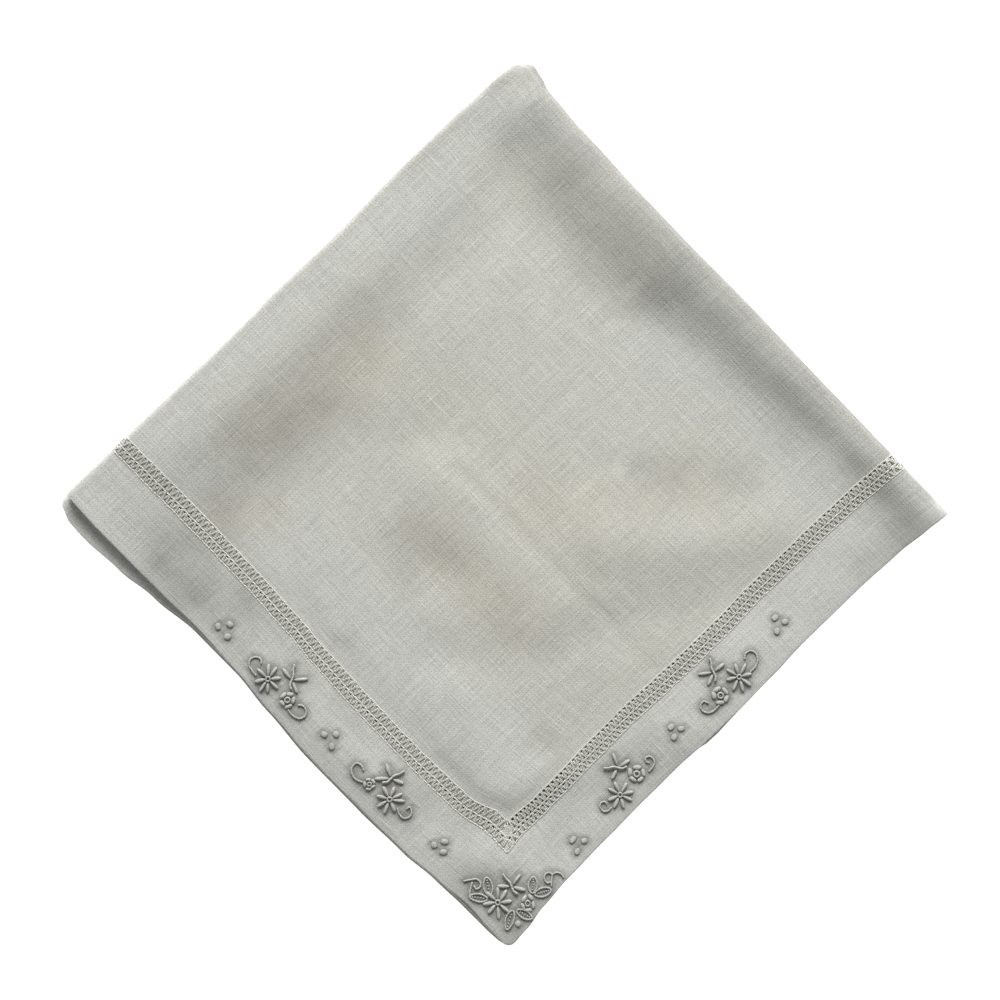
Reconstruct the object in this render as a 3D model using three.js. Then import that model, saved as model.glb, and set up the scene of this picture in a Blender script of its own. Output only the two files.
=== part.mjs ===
// Linen handkerchief with a drawn-thread hem, folded in quarters and lying flat.
// Millimetres, +Z up. X runs from the first fold to the side hem.
// Y runs from the lower hem to the second fold. The embroidered corner is at +X, -Y.

import * as THREE from "three";

// Cloth as cut and hemmed
const CLOTH_SIDE = 280;
const HALF = CLOTH_SIDE / 2;
const HEM_WIDTH = 14;
const BAND_WIDTH = 4;
const STEP_RUN = 0.4;

// Half thickness of the sheet on each side of its middle
const FIELD_HALF_THICK = 0.5;
const HEM_HALF_THICK = 0.6;
const BAND_HALF_THICK = 0.4;
const HEM_EDGE_ROUND = 0.35;

// Folding: the sheet turns under at the first fold, then the pair turns under at the second
const LAYER_PITCH = 1.4;
const FIRST_FOLD_RADIUS = LAYER_PITCH / 2;
const SECOND_FOLD_RADIUS = LAYER_PITCH;
const FIRST_FOLD_SEGMENTS = 6;
const SECOND_FOLD_SEGMENTS = 8;
const FIRST_FOLD_X = -70.3;
const SECOND_FOLD_Y = 66.9;

// Distance in from each fold where the mesh has a row of points
const FIELD_STATIONS = [3, 6, 10, 15, 21, 29, 38, 47, 57, 67, 77, 87, 97, 107, 115];
const HEM_MIDDLE = HEM_WIDTH / 2;

// Reach of a fold's own unevenness into the field
const FOLD_REACH = 60;

// First fold: shift along X, by distance from the second fold
const FIRST_FOLD_LINE = [
  { along: 0, shift: 0.8 },
  { along: 2, shift: 0.3 },
  { along: 9, shift: 0 },
  { along: 18, shift: -0.35 },
  { along: 34, shift: -0.3 },
  { along: 57, shift: 0.3 },
  { along: 74, shift: 0 },
  { along: 88, shift: 0.4 },
  { along: 106, shift: 0.15 },
  { along: 124, shift: -0.15 },
  { along: 140, shift: -0.1 },
];

// Second fold: shift along Y, by distance from the first fold
const SECOND_FOLD_LINE = [
  { along: 0, shift: 0 },
  { along: 1.2, shift: 1.3 },
  { along: 3, shift: 2.4 },
  { along: 6, shift: 1.9 },
  { along: 10, shift: 1.1 },
  { along: 21, shift: 0.9 },
  { along: 41, shift: 0.2 },
  { along: 57, shift: 0 },
  { along: 75, shift: 0.35 },
  { along: 100, shift: 0 },
  { along: 140, shift: -0.35 },
];

// Lower hem: shift along Y of the hemstitch band and of the hem's edge on the upper pair of layers,
// and of the hem's edge on the lower pair, by distance from the first fold
const LOWER_HEM_LINE = [
  { along: 0, band: 1.1, upper: 0.5, lower: -1.0 },
  { along: 1.5, band: 1.1, upper: 0.3, lower: -2.5 },
  { along: 4, band: 1.1, upper: 0.1, lower: -3.5 },
  { along: 10, band: 1.2, upper: -0.2, lower: -3.8 },
  { along: 20, band: 1.3, upper: -0.1, lower: -3.2 },
  { along: 30, band: 1.2, upper: 0, lower: -2.0 },
  { along: 42, band: 1.0, upper: 0.1, lower: -0.7 },
  { along: 55, band: 0.6, upper: -0.6, lower: -0.6 },
  { along: 66, band: -0.1, upper: -1.5, lower: -1.0 },
  { along: 80, band: -0.5, upper: -2.3, lower: -1.4 },
  { along: 97, band: -0.6, upper: -2.0, lower: -1.2 },
  { along: 110, band: -0.1, upper: -1.5, lower: -1.0 },
  { along: 120, band: 1.0, upper: -0.4, lower: -0.6 },
  { along: 128, band: 1.4, upper: 1.2, lower: -0.3 },
  { along: 134, band: 1.3, upper: 1.0, lower: -0.2 },
  { along: 140, band: 1.0, upper: 0.7, lower: 0.1 },
];

// Side hem: the same shifts along X, by distance from the second fold
const SIDE_HEM_LINE = [
  { along: 0, band: 0.9, upper: 1.6, lower: 1.6 },
  { along: 6, band: 0.5, upper: 0.9, lower: 0.9 },
  { along: 14, band: 0.1, upper: 0.2, lower: 0 },
  { along: 26, band: -0.1, upper: -0.2, lower: -0.6 },
  { along: 44, band: -0.1, upper: -0.2, lower: -0.6 },
  { along: 55, band: 0.3, upper: 0.2, lower: 0.4 },
  { along: 65, band: 0.3, upper: 0.4, lower: 1.1 },
  { along: 74, band: 0.1, upper: 0.5, lower: 1.5 },
  { along: 84, band: -0.2, upper: 0.4, lower: 0.2 },
  { along: 95, band: 0, upper: 0.4, lower: -0.2 },
  { along: 108, band: 0.4, upper: 0.5, lower: 0 },
  { along: 120, band: 0.9, upper: 1.0, lower: 0.4 },
  { along: 128, band: 1.2, upper: 1.7, lower: 1.2 },
  { along: 134, band: 1.3, upper: 2.7, lower: 2.3 },
  { along: 140, band: 1.3, upper: 2.4, lower: 2.4 },
];

// The layers turned under at the first fold sit a little inside the others
const TURNED_UNDER_INSET = 0.7;
const TURNED_UNDER_RUN = 40;

// Soft ridges on the top layer: each runs from x0, y0 to x1, y1. Lower layers follow by their height.
const SOFT_RIDGES = [
  { name: "roll of the second fold", x0: -62, y0: 67, x1: 68, y1: 67, reach: 15, height: 1.3 },
  { name: "roll of the first fold", x0: -69, y0: 64, x1: -68, y1: -50, reach: 16, height: 1.1 },
  { name: "pillow of the field", x0: -30, y0: 22, x1: 12, y1: 4, reach: 48, height: 0.9 },
  { name: "swell over the left of the field", x0: -44, y0: 30, x1: -40, y1: 0, reach: 18, height: 0.5 },
  { name: "swell towards the side hem", x0: 20, y0: 12, x1: 42, y1: 36, reach: 15, height: 0.8 },
  { name: "swell across the middle", x0: -14, y0: -8, x1: 22, y1: -11, reach: 13, height: 0.7 },
  { name: "swell inside the band's corner", x0: 24, y0: -40, x1: 38, y1: -45, reach: 13, height: 0.7 },
  { name: "lift of the embroidered corner", x0: 57, y0: -60, x1: 68, y1: -66, reach: 14, height: 0.7 },
  { name: "lift of the lower hem", x0: -10, y0: -66, x1: 30, y1: -66, reach: 9, height: 0.5 },
  { name: "lift of the side hem", x0: 63, y0: -10, x1: 63, y1: 20, reach: 9, height: 0.4 },
];

// Linen, as in the photo: dull, pale grey-beige
const LINEN_COLOUR = 0xc0c0b7;
const LINEN_ROUGHNESS = 0.92;

function smooth(x) {
  const c = Math.min(Math.max(x, 0), 1);
  return c * c * (3 - 2 * c);
}

// Value of one column of a table at a distance along it, eased between its rows
function lookUp(table, column, along) {
  let row = 0;
  while (row < table.length - 2 && table[row + 1].along < along) {
    row += 1;
  }
  const a = table[row];
  const b = table[row + 1];
  return a[column] + (b[column] - a[column]) * smooth((along - a.along) / (b.along - a.along));
}

// Height of the soft ridges over a point of the folded square
function ridgeHeight(x, y) {
  let height = 0;
  for (const ridge of SOFT_RIDGES) {
    const dx = ridge.x1 - ridge.x0;
    const dy = ridge.y1 - ridge.y0;
    const along = ((x - ridge.x0) * dx + (y - ridge.y0) * dy) / (dx * dx + dy * dy);
    const held = Math.min(Math.max(along, 0), 1);
    const away = Math.hypot(x - ridge.x0 - held * dx, y - ridge.y0 - held * dy);
    height += ridge.height * smooth(1 - away / ridge.reach);
  }
  return height;
}

// A turn under round a line: gives the run from the line, the height and the way outwards
function turnUnder(distance, radius) {
  const quarter = (Math.PI / 2) * radius;
  if (Math.abs(distance) > quarter) {
    const side = Math.sign(distance);
    return { run: Math.abs(distance) - quarter, height: side * radius, outRun: 0, outHeight: side };
  }
  const angle = distance / radius;
  const outRun = -Math.cos(angle);
  const outHeight = Math.sin(angle);
  return { run: radius * outRun, height: radius * outHeight, outRun, outHeight };
}

// Half thickness of the sheet at a distance in from the nearest edge of the cloth
function halfThickness(fromEdge) {
  const bandStart = HEM_WIDTH;
  const bandEnd = HEM_WIDTH + BAND_WIDTH;
  if (fromEdge < bandStart) {
    return HEM_HALF_THICK;
  }
  if (fromEdge < bandEnd) {
    return BAND_HALF_THICK;
  }
  return FIELD_HALF_THICK;
}

// Unevenness of the folded layers in their own plane.
// u and v are distances on the cloth from its middle: u > 0 faces up at the first fold,
// and v < 0 is the upper pair at the second.
function planShift(u, v) {
  const fromFirst = Math.abs(u);
  const fromSecond = Math.abs(v);
  const hemColumn = v < 0 ? "upper" : "lower";
  const bandLine = HALF - HEM_WIDTH - BAND_WIDTH;
  const inset = u < 0 ? TURNED_UNDER_INSET * smooth(fromFirst / TURNED_UNDER_RUN) : 0;

  const firstFade = Math.max(0, 1 - fromFirst / FOLD_REACH) ** 2;
  const sideBand = lookUp(SIDE_HEM_LINE, "band", fromSecond) * Math.min(1, fromFirst / bandLine);
  const sideEdge = lookUp(SIDE_HEM_LINE, hemColumn, fromSecond) - inset;
  const sideMix = Math.max(0, (fromFirst - bandLine) / (HALF - bandLine));
  const shiftX = lookUp(FIRST_FOLD_LINE, "shift", fromSecond) * firstFade
    + sideBand + (sideEdge - sideBand) * sideMix;

  const secondFade = Math.max(0, 1 - fromSecond / FOLD_REACH) ** 2;
  const lowerBand = lookUp(LOWER_HEM_LINE, "band", fromFirst) * Math.min(1, fromSecond / bandLine);
  const lowerEdge = lookUp(LOWER_HEM_LINE, hemColumn, fromFirst) + inset;
  const lowerMix = Math.max(0, (fromSecond - bandLine) / (HALF - bandLine));
  const shiftY = lookUp(SECOND_FOLD_LINE, "shift", fromFirst) * secondFade
    + lowerBand + (lowerEdge - lowerBand) * lowerMix;
  return { shiftX, shiftY };
}

// Heights of the lowest face and of the middles of the bottom and top layers, before the ridges
const FLOOR = -SECOND_FOLD_RADIUS - FIRST_FOLD_RADIUS - FIELD_HALF_THICK;
const BOTTOM_MIDDLE = FLOOR + FIELD_HALF_THICK;
const TOP_MIDDLE = -BOTTOM_MIDDLE;

// Place in the folded pack of a cloth point, offset from the sheet's middle towards its right side
function foldedPoint(u, v, offset) {
  const first = turnUnder(u, FIRST_FOLD_RADIUS);
  const run = first.run + offset * first.outRun;
  const rise = first.height + offset * first.outHeight;
  const second = turnUnder(-v, SECOND_FOLD_RADIUS);
  const depth = second.run + rise * second.outRun;
  const middle = second.height + first.height * second.outHeight;
  const { shiftX, shiftY } = planShift(u, v);
  const x = FIRST_FOLD_X + run + shiftX;
  const y = SECOND_FOLD_Y - depth + shiftY;
  const share = (middle - BOTTOM_MIDDLE) / (TOP_MIDDLE - BOTTOM_MIDDLE);
  const z = second.height + rise * second.outHeight + share * ridgeHeight(x, y);
  return [x, y, Math.max(z, FLOOR) - FLOOR];
}

// Places across the cloth, edge to edge, where the mesh has its rows of points
function clothStations(foldRadius, foldSegments) {
  const fromMiddle = [];
  const quarter = (Math.PI / 2) * foldRadius;
  for (let k = 1; k <= foldSegments / 2; k += 1) {
    fromMiddle.push((quarter * k) / (foldSegments / 2));
  }
  fromMiddle.push(...FIELD_STATIONS);
  const bandInner = HALF - HEM_WIDTH - BAND_WIDTH;
  const bandOuter = HALF - HEM_WIDTH;
  fromMiddle.push(bandInner - STEP_RUN / 2, bandInner + STEP_RUN / 2);
  fromMiddle.push(bandOuter - STEP_RUN / 2, bandOuter + STEP_RUN / 2);
  fromMiddle.push(HALF - HEM_MIDDLE, HALF);
  const other = fromMiddle.map((d) => -d).reverse();
  return [...other, 0, ...fromMiddle];
}

// The whole handkerchief as one closed sheet: a right side, a wrong side and a rounded edge
function handkerchiefGeometry() {
  const us = clothStations(FIRST_FOLD_RADIUS, FIRST_FOLD_SEGMENTS);
  const vs = clothStations(SECOND_FOLD_RADIUS, SECOND_FOLD_SEGMENTS);
  const across = us.length;
  const down = vs.length;
  const points = [];
  const faces = [];

  const sidePoints = (side) => {
    const start = points.length / 3;
    for (const v of vs) {
      for (const u of us) {
        const fromEdge = HALF - Math.max(Math.abs(u), Math.abs(v));
        points.push(...foldedPoint(u, v, side * halfThickness(fromEdge)));
      }
    }
    return start;
  };
  const right = sidePoints(1);
  const wrong = sidePoints(-1);

  const quad = (a, b, c, d) => {
    faces.push(a, b, c);
    faces.push(a, c, d);
  };
  for (let j = 0; j < down - 1; j += 1) {
    for (let i = 0; i < across - 1; i += 1) {
      const a = j * across + i;
      const b = a + 1;
      const c = a + across + 1;
      const d = a + across;
      quad(right + a, right + b, right + c, right + d);
      quad(wrong + a, wrong + d, wrong + c, wrong + b);
    }
  }

  // Grid places round the four edges, anticlockwise seen from the right side
  const edge = [];
  for (let i = 0; i < across - 1; i += 1) {
    edge.push([i, 0]);
  }
  for (let j = 0; j < down - 1; j += 1) {
    edge.push([across - 1, j]);
  }
  for (let i = across - 1; i > 0; i -= 1) {
    edge.push([i, down - 1]);
  }
  for (let j = down - 1; j > 0; j -= 1) {
    edge.push([0, j]);
  }
  const turn = points.length / 3;
  for (const [i, j] of edge) {
    const out = 1 + HEM_EDGE_ROUND / HALF;
    const u = Math.abs(us[i]) === HALF ? us[i] * out : us[i];
    const v = Math.abs(vs[j]) === HALF ? vs[j] * out : vs[j];
    points.push(...foldedPoint(u, v, 0));
  }
  for (let k = 0; k < edge.length; k += 1) {
    const next = (k + 1) % edge.length;
    const here = edge[k][1] * across + edge[k][0];
    const there = edge[next][1] * across + edge[next][0];
    quad(turn + k, turn + next, right + there, right + here);
    quad(wrong + here, wrong + there, turn + next, turn + k);
  }

  const geometry = new THREE.BufferGeometry();
  geometry.setAttribute("position", new THREE.Float32BufferAttribute(points, 3));
  geometry.setIndex(faces);

  // Centre the footprint on the origin
  geometry.computeBoundingBox();
  const { min, max } = geometry.boundingBox;
  geometry.translate(-(min.x + max.x) / 2, -(min.y + max.y) / 2, -min.z);
  geometry.computeVertexNormals();
  return geometry;
}

const linen = new THREE.MeshStandardMaterial({
  color: LINEN_COLOUR,
  roughness: LINEN_ROUGHNESS,
  metalness: 0,
});

const cloth = new THREE.Mesh(handkerchiefGeometry(), linen);
cloth.name = "cloth";

const handkerchief = new THREE.Group();
handkerchief.name = "linen_handkerchief";
handkerchief.add(cloth);

export default handkerchief;
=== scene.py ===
"""Dress the folded linen handkerchief: its sheet, hemstitch, whitework, table top, light and camera.

The cloth is worked out flat, in millimetres from its middle, and every point of it, and of the threads
sewn on it, is carried through the same two folds, so all of them lie together on the solid's folds.
"""
from __future__ import annotations

import logging
import math
from collections.abc import Callable
from dataclasses import dataclass, field
from enum import Enum

import bpy
import numpy as np
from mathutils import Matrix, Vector
from mathutils.kdtree import KDTree


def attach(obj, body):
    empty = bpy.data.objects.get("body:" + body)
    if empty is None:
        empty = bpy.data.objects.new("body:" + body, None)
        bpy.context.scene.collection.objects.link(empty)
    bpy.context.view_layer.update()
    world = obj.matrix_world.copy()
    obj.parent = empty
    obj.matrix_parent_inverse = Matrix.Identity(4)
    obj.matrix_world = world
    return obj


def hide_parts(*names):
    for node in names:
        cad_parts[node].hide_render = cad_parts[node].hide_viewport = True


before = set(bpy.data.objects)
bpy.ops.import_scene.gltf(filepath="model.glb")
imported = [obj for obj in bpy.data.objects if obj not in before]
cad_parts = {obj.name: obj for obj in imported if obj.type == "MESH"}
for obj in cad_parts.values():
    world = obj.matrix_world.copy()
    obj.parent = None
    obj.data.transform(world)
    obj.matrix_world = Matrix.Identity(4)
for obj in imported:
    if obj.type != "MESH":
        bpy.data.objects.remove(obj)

LOG = logging.getLogger("handkerchief")
MM = 0.001
ROOT = "root"
NODE = "cloth"
FLAT_UV = "flat_cloth"
# painted shade, with some old soil, held at the points: on the linen round the stitches and along the
# folds, and at the feet of the stitches
SHADE_AND_SOIL = "shade_and_soil"
WARMTH = "warmth"

Table = tuple[tuple[float, ...], ...]
Place = tuple[float, float]
Size = tuple[float, float, float]
Colour = tuple[float, float, float, float]


def smooth(x: np.ndarray) -> np.ndarray:
    """Ease a value from 0 to 1, flat at both ends.

    Args:
        x: Values, of any size.

    Returns:
        The eased values, between 0 and 1.
    """
    c = np.clip(x, 0.0, 1.0)
    return c * c * (3.0 - 2.0 * c)


def look_up(table: Table, column: int, along: np.ndarray) -> np.ndarray:
    """Read a column of a table at distances along it, eased between its rows.

    Args:
        table: Rows whose first value is the distance along.
        column: Which column to read.
        along: Distances at which to read it.

    Returns:
        One value for each distance.
    """
    rows = np.asarray(table)
    at = np.clip(np.searchsorted(rows[:, 0], along) - 1, 0, len(rows) - 2)
    share = (along - rows[at, 0]) / (rows[at + 1, 0] - rows[at, 0])
    return rows[at, column] + (rows[at + 1, column] - rows[at, column]) * smooth(share)


def line_distance(x: np.ndarray, y: np.ndarray, line: tuple[float, ...]) -> np.ndarray:
    """Measure how far places lie from a short straight line.

    Args:
        x: Places along X.
        y: Places along Y.
        line: The line's two ends, as x0, y0, x1, y1.

    Returns:
        The distance of each place.
    """
    x0, y0, x1, y1 = line
    dx, dy = x1 - x0, y1 - y0
    held = np.clip(((x - x0) * dx + (y - y0) * dy) / (dx * dx + dy * dy), 0.0, 1.0)
    return np.hypot(x - x0 - held * dx, y - y0 - held * dy)


class Detail(Enum):
    """How finely a stretch of hemstitch is made."""

    FINE = "fine"
    PLAIN = "plain"


# Folds


@dataclass(frozen=True)
class FoldedPack:
    """The cloth's two folds, its uneven outline and its soft ridges, in millimetres.

    A place on the cloth is u, v from its middle and an offset from the sheet's middle towards its
    right side. The corner with the flowers is at +u, -v.
    """

    half: float = 140.0
    band_line: float = 122.0
    first_radius: float = 0.7
    second_radius: float = 1.4
    first_fold_x: float = -70.3
    second_fold_y: float = 66.9
    floor: float = -2.6
    middle_height: float = 2.1
    centre_x: float = -0.12155
    centre_y: float = -1.62405
    fold_reach: float = 60.0
    inset: float = 0.7
    inset_run: float = 40.0
    # distance from the second fold, shift of the first fold along X
    first_line: Table = (
        (0, 0.4), (2, 0), (9, -0.3), (18, -0.65), (34, -0.7), (57, -0.1),
        (74, -0.35), (88, 0), (106, -0.1), (124, -0.3), (140, -0.6),
    )
    # distance from the first fold, shift of the second fold along Y
    second_line: Table = (
        (0, 0.9), (1.2, 2.3), (3, 3.4), (6, 2.8), (10, 1.6), (21, 0.9),
        (41, 0.4), (57, 0.3), (75, 0.55), (100, 0.3), (140, 0.1),
    )
    # distance from the first fold, shift along Y of band, upper hem edge, lower hem edge
    lower_hem: Table = (
        (0, 1.1, 0, -1.6), (1.5, 1.1, -0.3, -3.3), (4, 1.1, -0.4, -4.4), (10, 1.2, -0.6, -4.7),
        (20, 1.3, -0.5, -4.1), (30, 1.2, -0.4, -2.8), (42, 1.0, 0.1, -1.4), (55, 0.6, -0.4, -1.3),
        (66, -0.1, -1.3, -2.2), (80, -0.5, -2.1, -3.1), (97, -0.6, -1.9, -3.0),
        (110, -0.1, -1.6, -2.5), (120, 1.0, -0.6, -1.5), (128, 1.4, 0.5, -1.1),
        (134, 1.3, 0.2, -1.0), (140, 1.0, 0, -0.6),
    )
    # distance from the second fold, shift along X of band, upper hem edge, lower hem edge
    side_hem: Table = (
        (0, 0.9, 1.8, 1.8), (6, 0.5, 1.2, 1.2), (14, 0.1, 0.5, 0.3), (26, -0.1, 0.1, -0.3),
        (44, -0.1, 0.1, -0.3), (55, 0.3, 0.6, 0.7), (65, 0.3, 0.9, 1.5), (74, 0.1, 0.9, 1.9),
        (84, -0.2, 0.5, 0.4), (95, 0, 0.6, 0), (108, 0.4, 0.9, 0.3), (120, 0.9, 1.3, 0.7),
        (128, 1.2, 2.0, 1.5), (134, 1.3, 3.0, 2.6), (140, 1.3, 3.5, 3.6),
    )
    # x0, y0, x1, y1, reach, height
    ridges: Table = (
        (-62, 67, 68, 67, 15, 1.3), (-69, 64, -68, -50, 16, 1.1), (-30, 22, 12, 4, 48, 0.9),
        (-44, 30, -40, 0, 18, 0.5), (20, 12, 42, 36, 15, 0.8), (-14, -8, 22, -11, 13, 0.7),
        (24, -40, 38, -45, 13, 0.7), (57, -60, 68, -66, 14, 0.7), (-10, -66, 30, -66, 9, 0.5),
        (63, -10, 63, 20, 9, 0.4),
    )
    # how far the middle layers stand up under the top one, past the first fold
    middle_lift: float = 1.0
    middle_lift_run: float = 26.0
    middle_lean: float = 0.3
    # distance from the first fold, flat crown, reach beyond it, height, dip at the edge:
    # the soft roll along the second fold
    second_roll: Table = (
        (0, 2, 10, 0.30, 0), (10, 4, 14, 1.00, 0), (27, 5.5, 16, 1.35, 0), (42, 6.5, 17, 1.80, 0),
        (54, 5.5, 17, 1.65, 0), (66, 3, 13, 1.10, 0), (80, 2, 10, 0.90, 0), (110, 0.5, 7, 0.70, 0),
        (140, 0, 6, 0.50, 0),
    )
    # distance from the second fold, and the same for the roll along the first fold
    first_roll: Table = (
        (0, 7, 14, 0.10, 0.20), (20, 8, 16, 0.40, 0.50), (40, 9, 17, 0.60, 0.70),
        (62, 9, 18, 0.85, 0.75), (84, 9.5, 20, 1.20, 0.80), (108, 9.5, 20, 1.15, 0.75),
        (125, 11, 20, 0.60, 0.40), (140, 12, 22, 0.30, 0.20),
    )
    dip_reach: float = 13.0
    # x0, y0, x1, y1, reach, height: finer creases and drag lines that the solid leaves out
    creases: Table = (
        (-8, -27, 3.5, -22, 11, -0.40), (19, 15, 37, 35, 10, -0.36), (30, 14, 44, 39, 9, 0.12),
        (32.5, -8, 49.5, 18, 9, -0.20), (17, -31, 28, -22, 9, -0.10), (45, -50, 51, -35, 8, 0.45),
        (-68, -62, -43, -56, 9, 0.15), (-35, -64, 43, -65, 11, 0.40), (73, -48, 73, 22, 11, 0.30),
        (-68, 0, -14, -4, 2, -0.06), (-14, -4, 50, -3, 2.2, -0.10), (-9, -1, -9, 34, 2.2, -0.06),
    )
    # where the drawn-out rows meet, and how the cloth is drawn in there
    band_corner: float = 121.0
    drawn_reach: float = 9.5
    drawn_x: float = -0.85
    drawn_y: float = 1.45

    def turn_under(self, distance: np.ndarray, radius: float) -> tuple[np.ndarray, ...]:
        """Turn a sheet under round a line.

        Args:
            distance: Distances on the sheet from the line, positive on the upper side.
            radius: Radius of the turn.

        Returns:
            The run from the line, the height, and the way outwards in run and in height.
        """
        quarter = math.pi / 2 * radius
        far = np.abs(distance) > quarter
        side = np.sign(distance)
        angle = np.clip(distance / radius, -math.pi / 2, math.pi / 2)
        run = np.where(far, np.abs(distance) - quarter, -radius * np.cos(angle))
        height = np.where(far, side * radius, radius * np.sin(angle))
        out_run = np.where(far, 0.0, -np.cos(angle))
        out_height = np.where(far, side, np.sin(angle))
        return run, height, out_run, out_height

    def plan_shift(self, u: np.ndarray, v: np.ndarray) -> tuple[np.ndarray, np.ndarray]:
        """Work out how far places on the cloth lie off the even square.

        Args:
            u: Distances from the first fold's line.
            v: Distances from the second fold's line.

        Returns:
            The shifts along X and Y.
        """
        a, b, upper = np.abs(u), np.abs(v), v < 0
        inset = np.where(u < 0, self.inset * smooth(a / self.inset_run), 0.0)
        shift_x = self.side_shift(self.first_line, self.side_hem, b, a, upper, -inset)
        shift_y = self.side_shift(self.second_line, self.lower_hem, a, b, upper, inset)
        drawn = smooth(1 - np.hypot(u - self.band_corner, v + self.band_corner) / self.drawn_reach)
        return shift_x + self.drawn_x * drawn, shift_y + self.drawn_y * drawn

    def side_shift(self, line: Table, hem: Table, along: np.ndarray, across: np.ndarray,
                   upper: np.ndarray, inset: np.ndarray) -> np.ndarray:
        """Work out how far places lie off the even square, away from one fold.

        Args:
            line: The fold's table.
            hem: The table of the hem that faces it.
            along: Distances along the fold.
            across: Distances from it.
            upper: Which places are on the upper layers.
            inset: How far the hem is set in.

        Returns:
            The shifts.
        """
        band = look_up(hem, 1, along) * np.minimum(1.0, across / self.band_line)
        edge = np.where(upper, look_up(hem, 2, along), look_up(hem, 3, along)) + inset
        mix = np.maximum(0.0, (across - self.band_line) / (self.half - self.band_line))
        fade = np.maximum(0.0, 1 - across / self.fold_reach) ** 2
        return look_up(line, 1, along) * fade + band + (edge - band) * mix

    def roll_height(self, x: np.ndarray, y: np.ndarray) -> np.ndarray:
        """Work out the soft rolls that lie along both folds.

        Args:
            x: Places along X.
            y: Places along Y.

        Returns:
            Their height at each place.
        """
        from_first, from_second = x - self.first_fold_x, self.second_fold_y - y
        height = np.zeros_like(x)
        rolls = ((self.second_roll, from_first, from_second),
                 (self.first_roll, from_second, from_first))
        for table, along, across in rolls:
            crown, reach, rise, dip = (look_up(table, column, along) for column in (1, 2, 3, 4))
            height += rise * smooth(1 - np.maximum(across - crown, 0.0) / reach)
            height -= dip * smooth(1 - across / self.dip_reach)
        return height

    def ridge_height(self, x: np.ndarray, y: np.ndarray) -> np.ndarray:
        """Add up the soft ridges and creases over places of the folded square.

        Args:
            x: Places along X.
            y: Places along Y.

        Returns:
            The height of the relief at each place.
        """
        height = self.roll_height(x, y)
        for x0, y0, x1, y1, reach, rise in self.ridges + self.creases:
            height += rise * smooth(1 - line_distance(x, y, (x0, y0, x1, y1)) / reach)
        return height

    def place(self, flat: np.ndarray) -> np.ndarray:
        """Carry flat points through both folds.

        Args:
            flat: Rows of u, v and offset, in millimetres.

        Returns:
            Rows of x, y and z, in metres.
        """
        u, v, offset = flat[:, 0], flat[:, 1], flat[:, 2]
        run, middle_rise, out_run, out_rise = self.turn_under(u, self.first_radius)
        rise = middle_rise + offset * out_rise
        depth, height, out_depth, out_height = self.turn_under(-v, self.second_radius)
        middle = height + middle_rise * out_height
        shift_x, shift_y = self.plan_shift(u, v)
        x = self.first_fold_x + (run + offset * out_run) + shift_x
        y = self.second_fold_y - (depth + rise * out_depth) + shift_y
        share = (middle + self.middle_height) / (2 * self.middle_height)
        level = middle / self.middle_height
        lift = self.middle_lift * smooth(np.abs(u) / self.middle_lift_run)
        lift *= (1 - level**2) * (1 + self.middle_lean * level)
        z = height + rise * out_height + share * self.ridge_height(x, y) + lift
        z = np.maximum(z, self.floor) - self.floor
        return np.stack([x - self.centre_x, y - self.centre_y, z], axis=1) * MM


@dataclass
class FlatMesh:
    """A mesh on the flat cloth: rows of u, v and offset, faces, and a pattern place for each point."""

    points: np.ndarray
    loops: np.ndarray
    sizes: np.ndarray
    pattern: np.ndarray

    @staticmethod
    def joined(parts: list[FlatMesh]) -> FlatMesh:
        """Join several meshes into one.

        Args:
            parts: The meshes to join.

        Returns:
            One mesh that holds them all.
        """
        starts = np.cumsum([0] + [len(part.points) for part in parts[:-1]])
        return FlatMesh(
            points=np.concatenate([part.points for part in parts]),
            loops=np.concatenate([part.loops + start for part, start in zip(parts, starts)]),
            sizes=np.concatenate([part.sizes for part in parts]),
            pattern=np.concatenate([part.pattern for part in parts]),
        )

    def build(self, name: str, pack: FoldedPack, finish: bpy.types.Material,
              held: dict[str, np.ndarray] | None = None) -> bpy.types.Object:
        """Make a piece of the mesh, carried through the folds.

        Args:
            name: The piece's name.
            pack: The folds to carry it through.
            finish: The piece's material.
            held: Values that its points hold for the material, by name.

        Returns:
            The new piece, at the origin.
        """
        mesh = bpy.data.meshes.new(name)
        mesh.vertices.add(len(self.points))
        mesh.vertices.foreach_set("co", pack.place(self.points).ravel())
        mesh.loops.add(len(self.loops))
        mesh.loops.foreach_set("vertex_index", self.loops.astype(np.int32))
        mesh.polygons.add(len(self.sizes))
        starts = np.concatenate([[0], np.cumsum(self.sizes)[:-1]]).astype(np.int32)
        mesh.polygons.foreach_set("loop_start", starts)
        mesh.polygons.foreach_set("use_smooth", np.ones(len(self.sizes), dtype=bool))
        layer = mesh.uv_layers.new(name=FLAT_UV)
        layer.uv.foreach_set("vector", self.pattern[self.loops].astype(np.float32).ravel())
        mesh.update(calc_edges=True)
        mesh.validate()
        for key, values in (held or {}).items():
            layer = mesh.attributes.new(key, "FLOAT", "POINT")
            layer.data.foreach_set("value", values.astype(np.float32))
        mesh.materials.append(finish)
        piece = bpy.data.objects.new(name, mesh)
        bpy.context.scene.collection.objects.link(piece)
        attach(piece, ROOT)
        return piece


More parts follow.
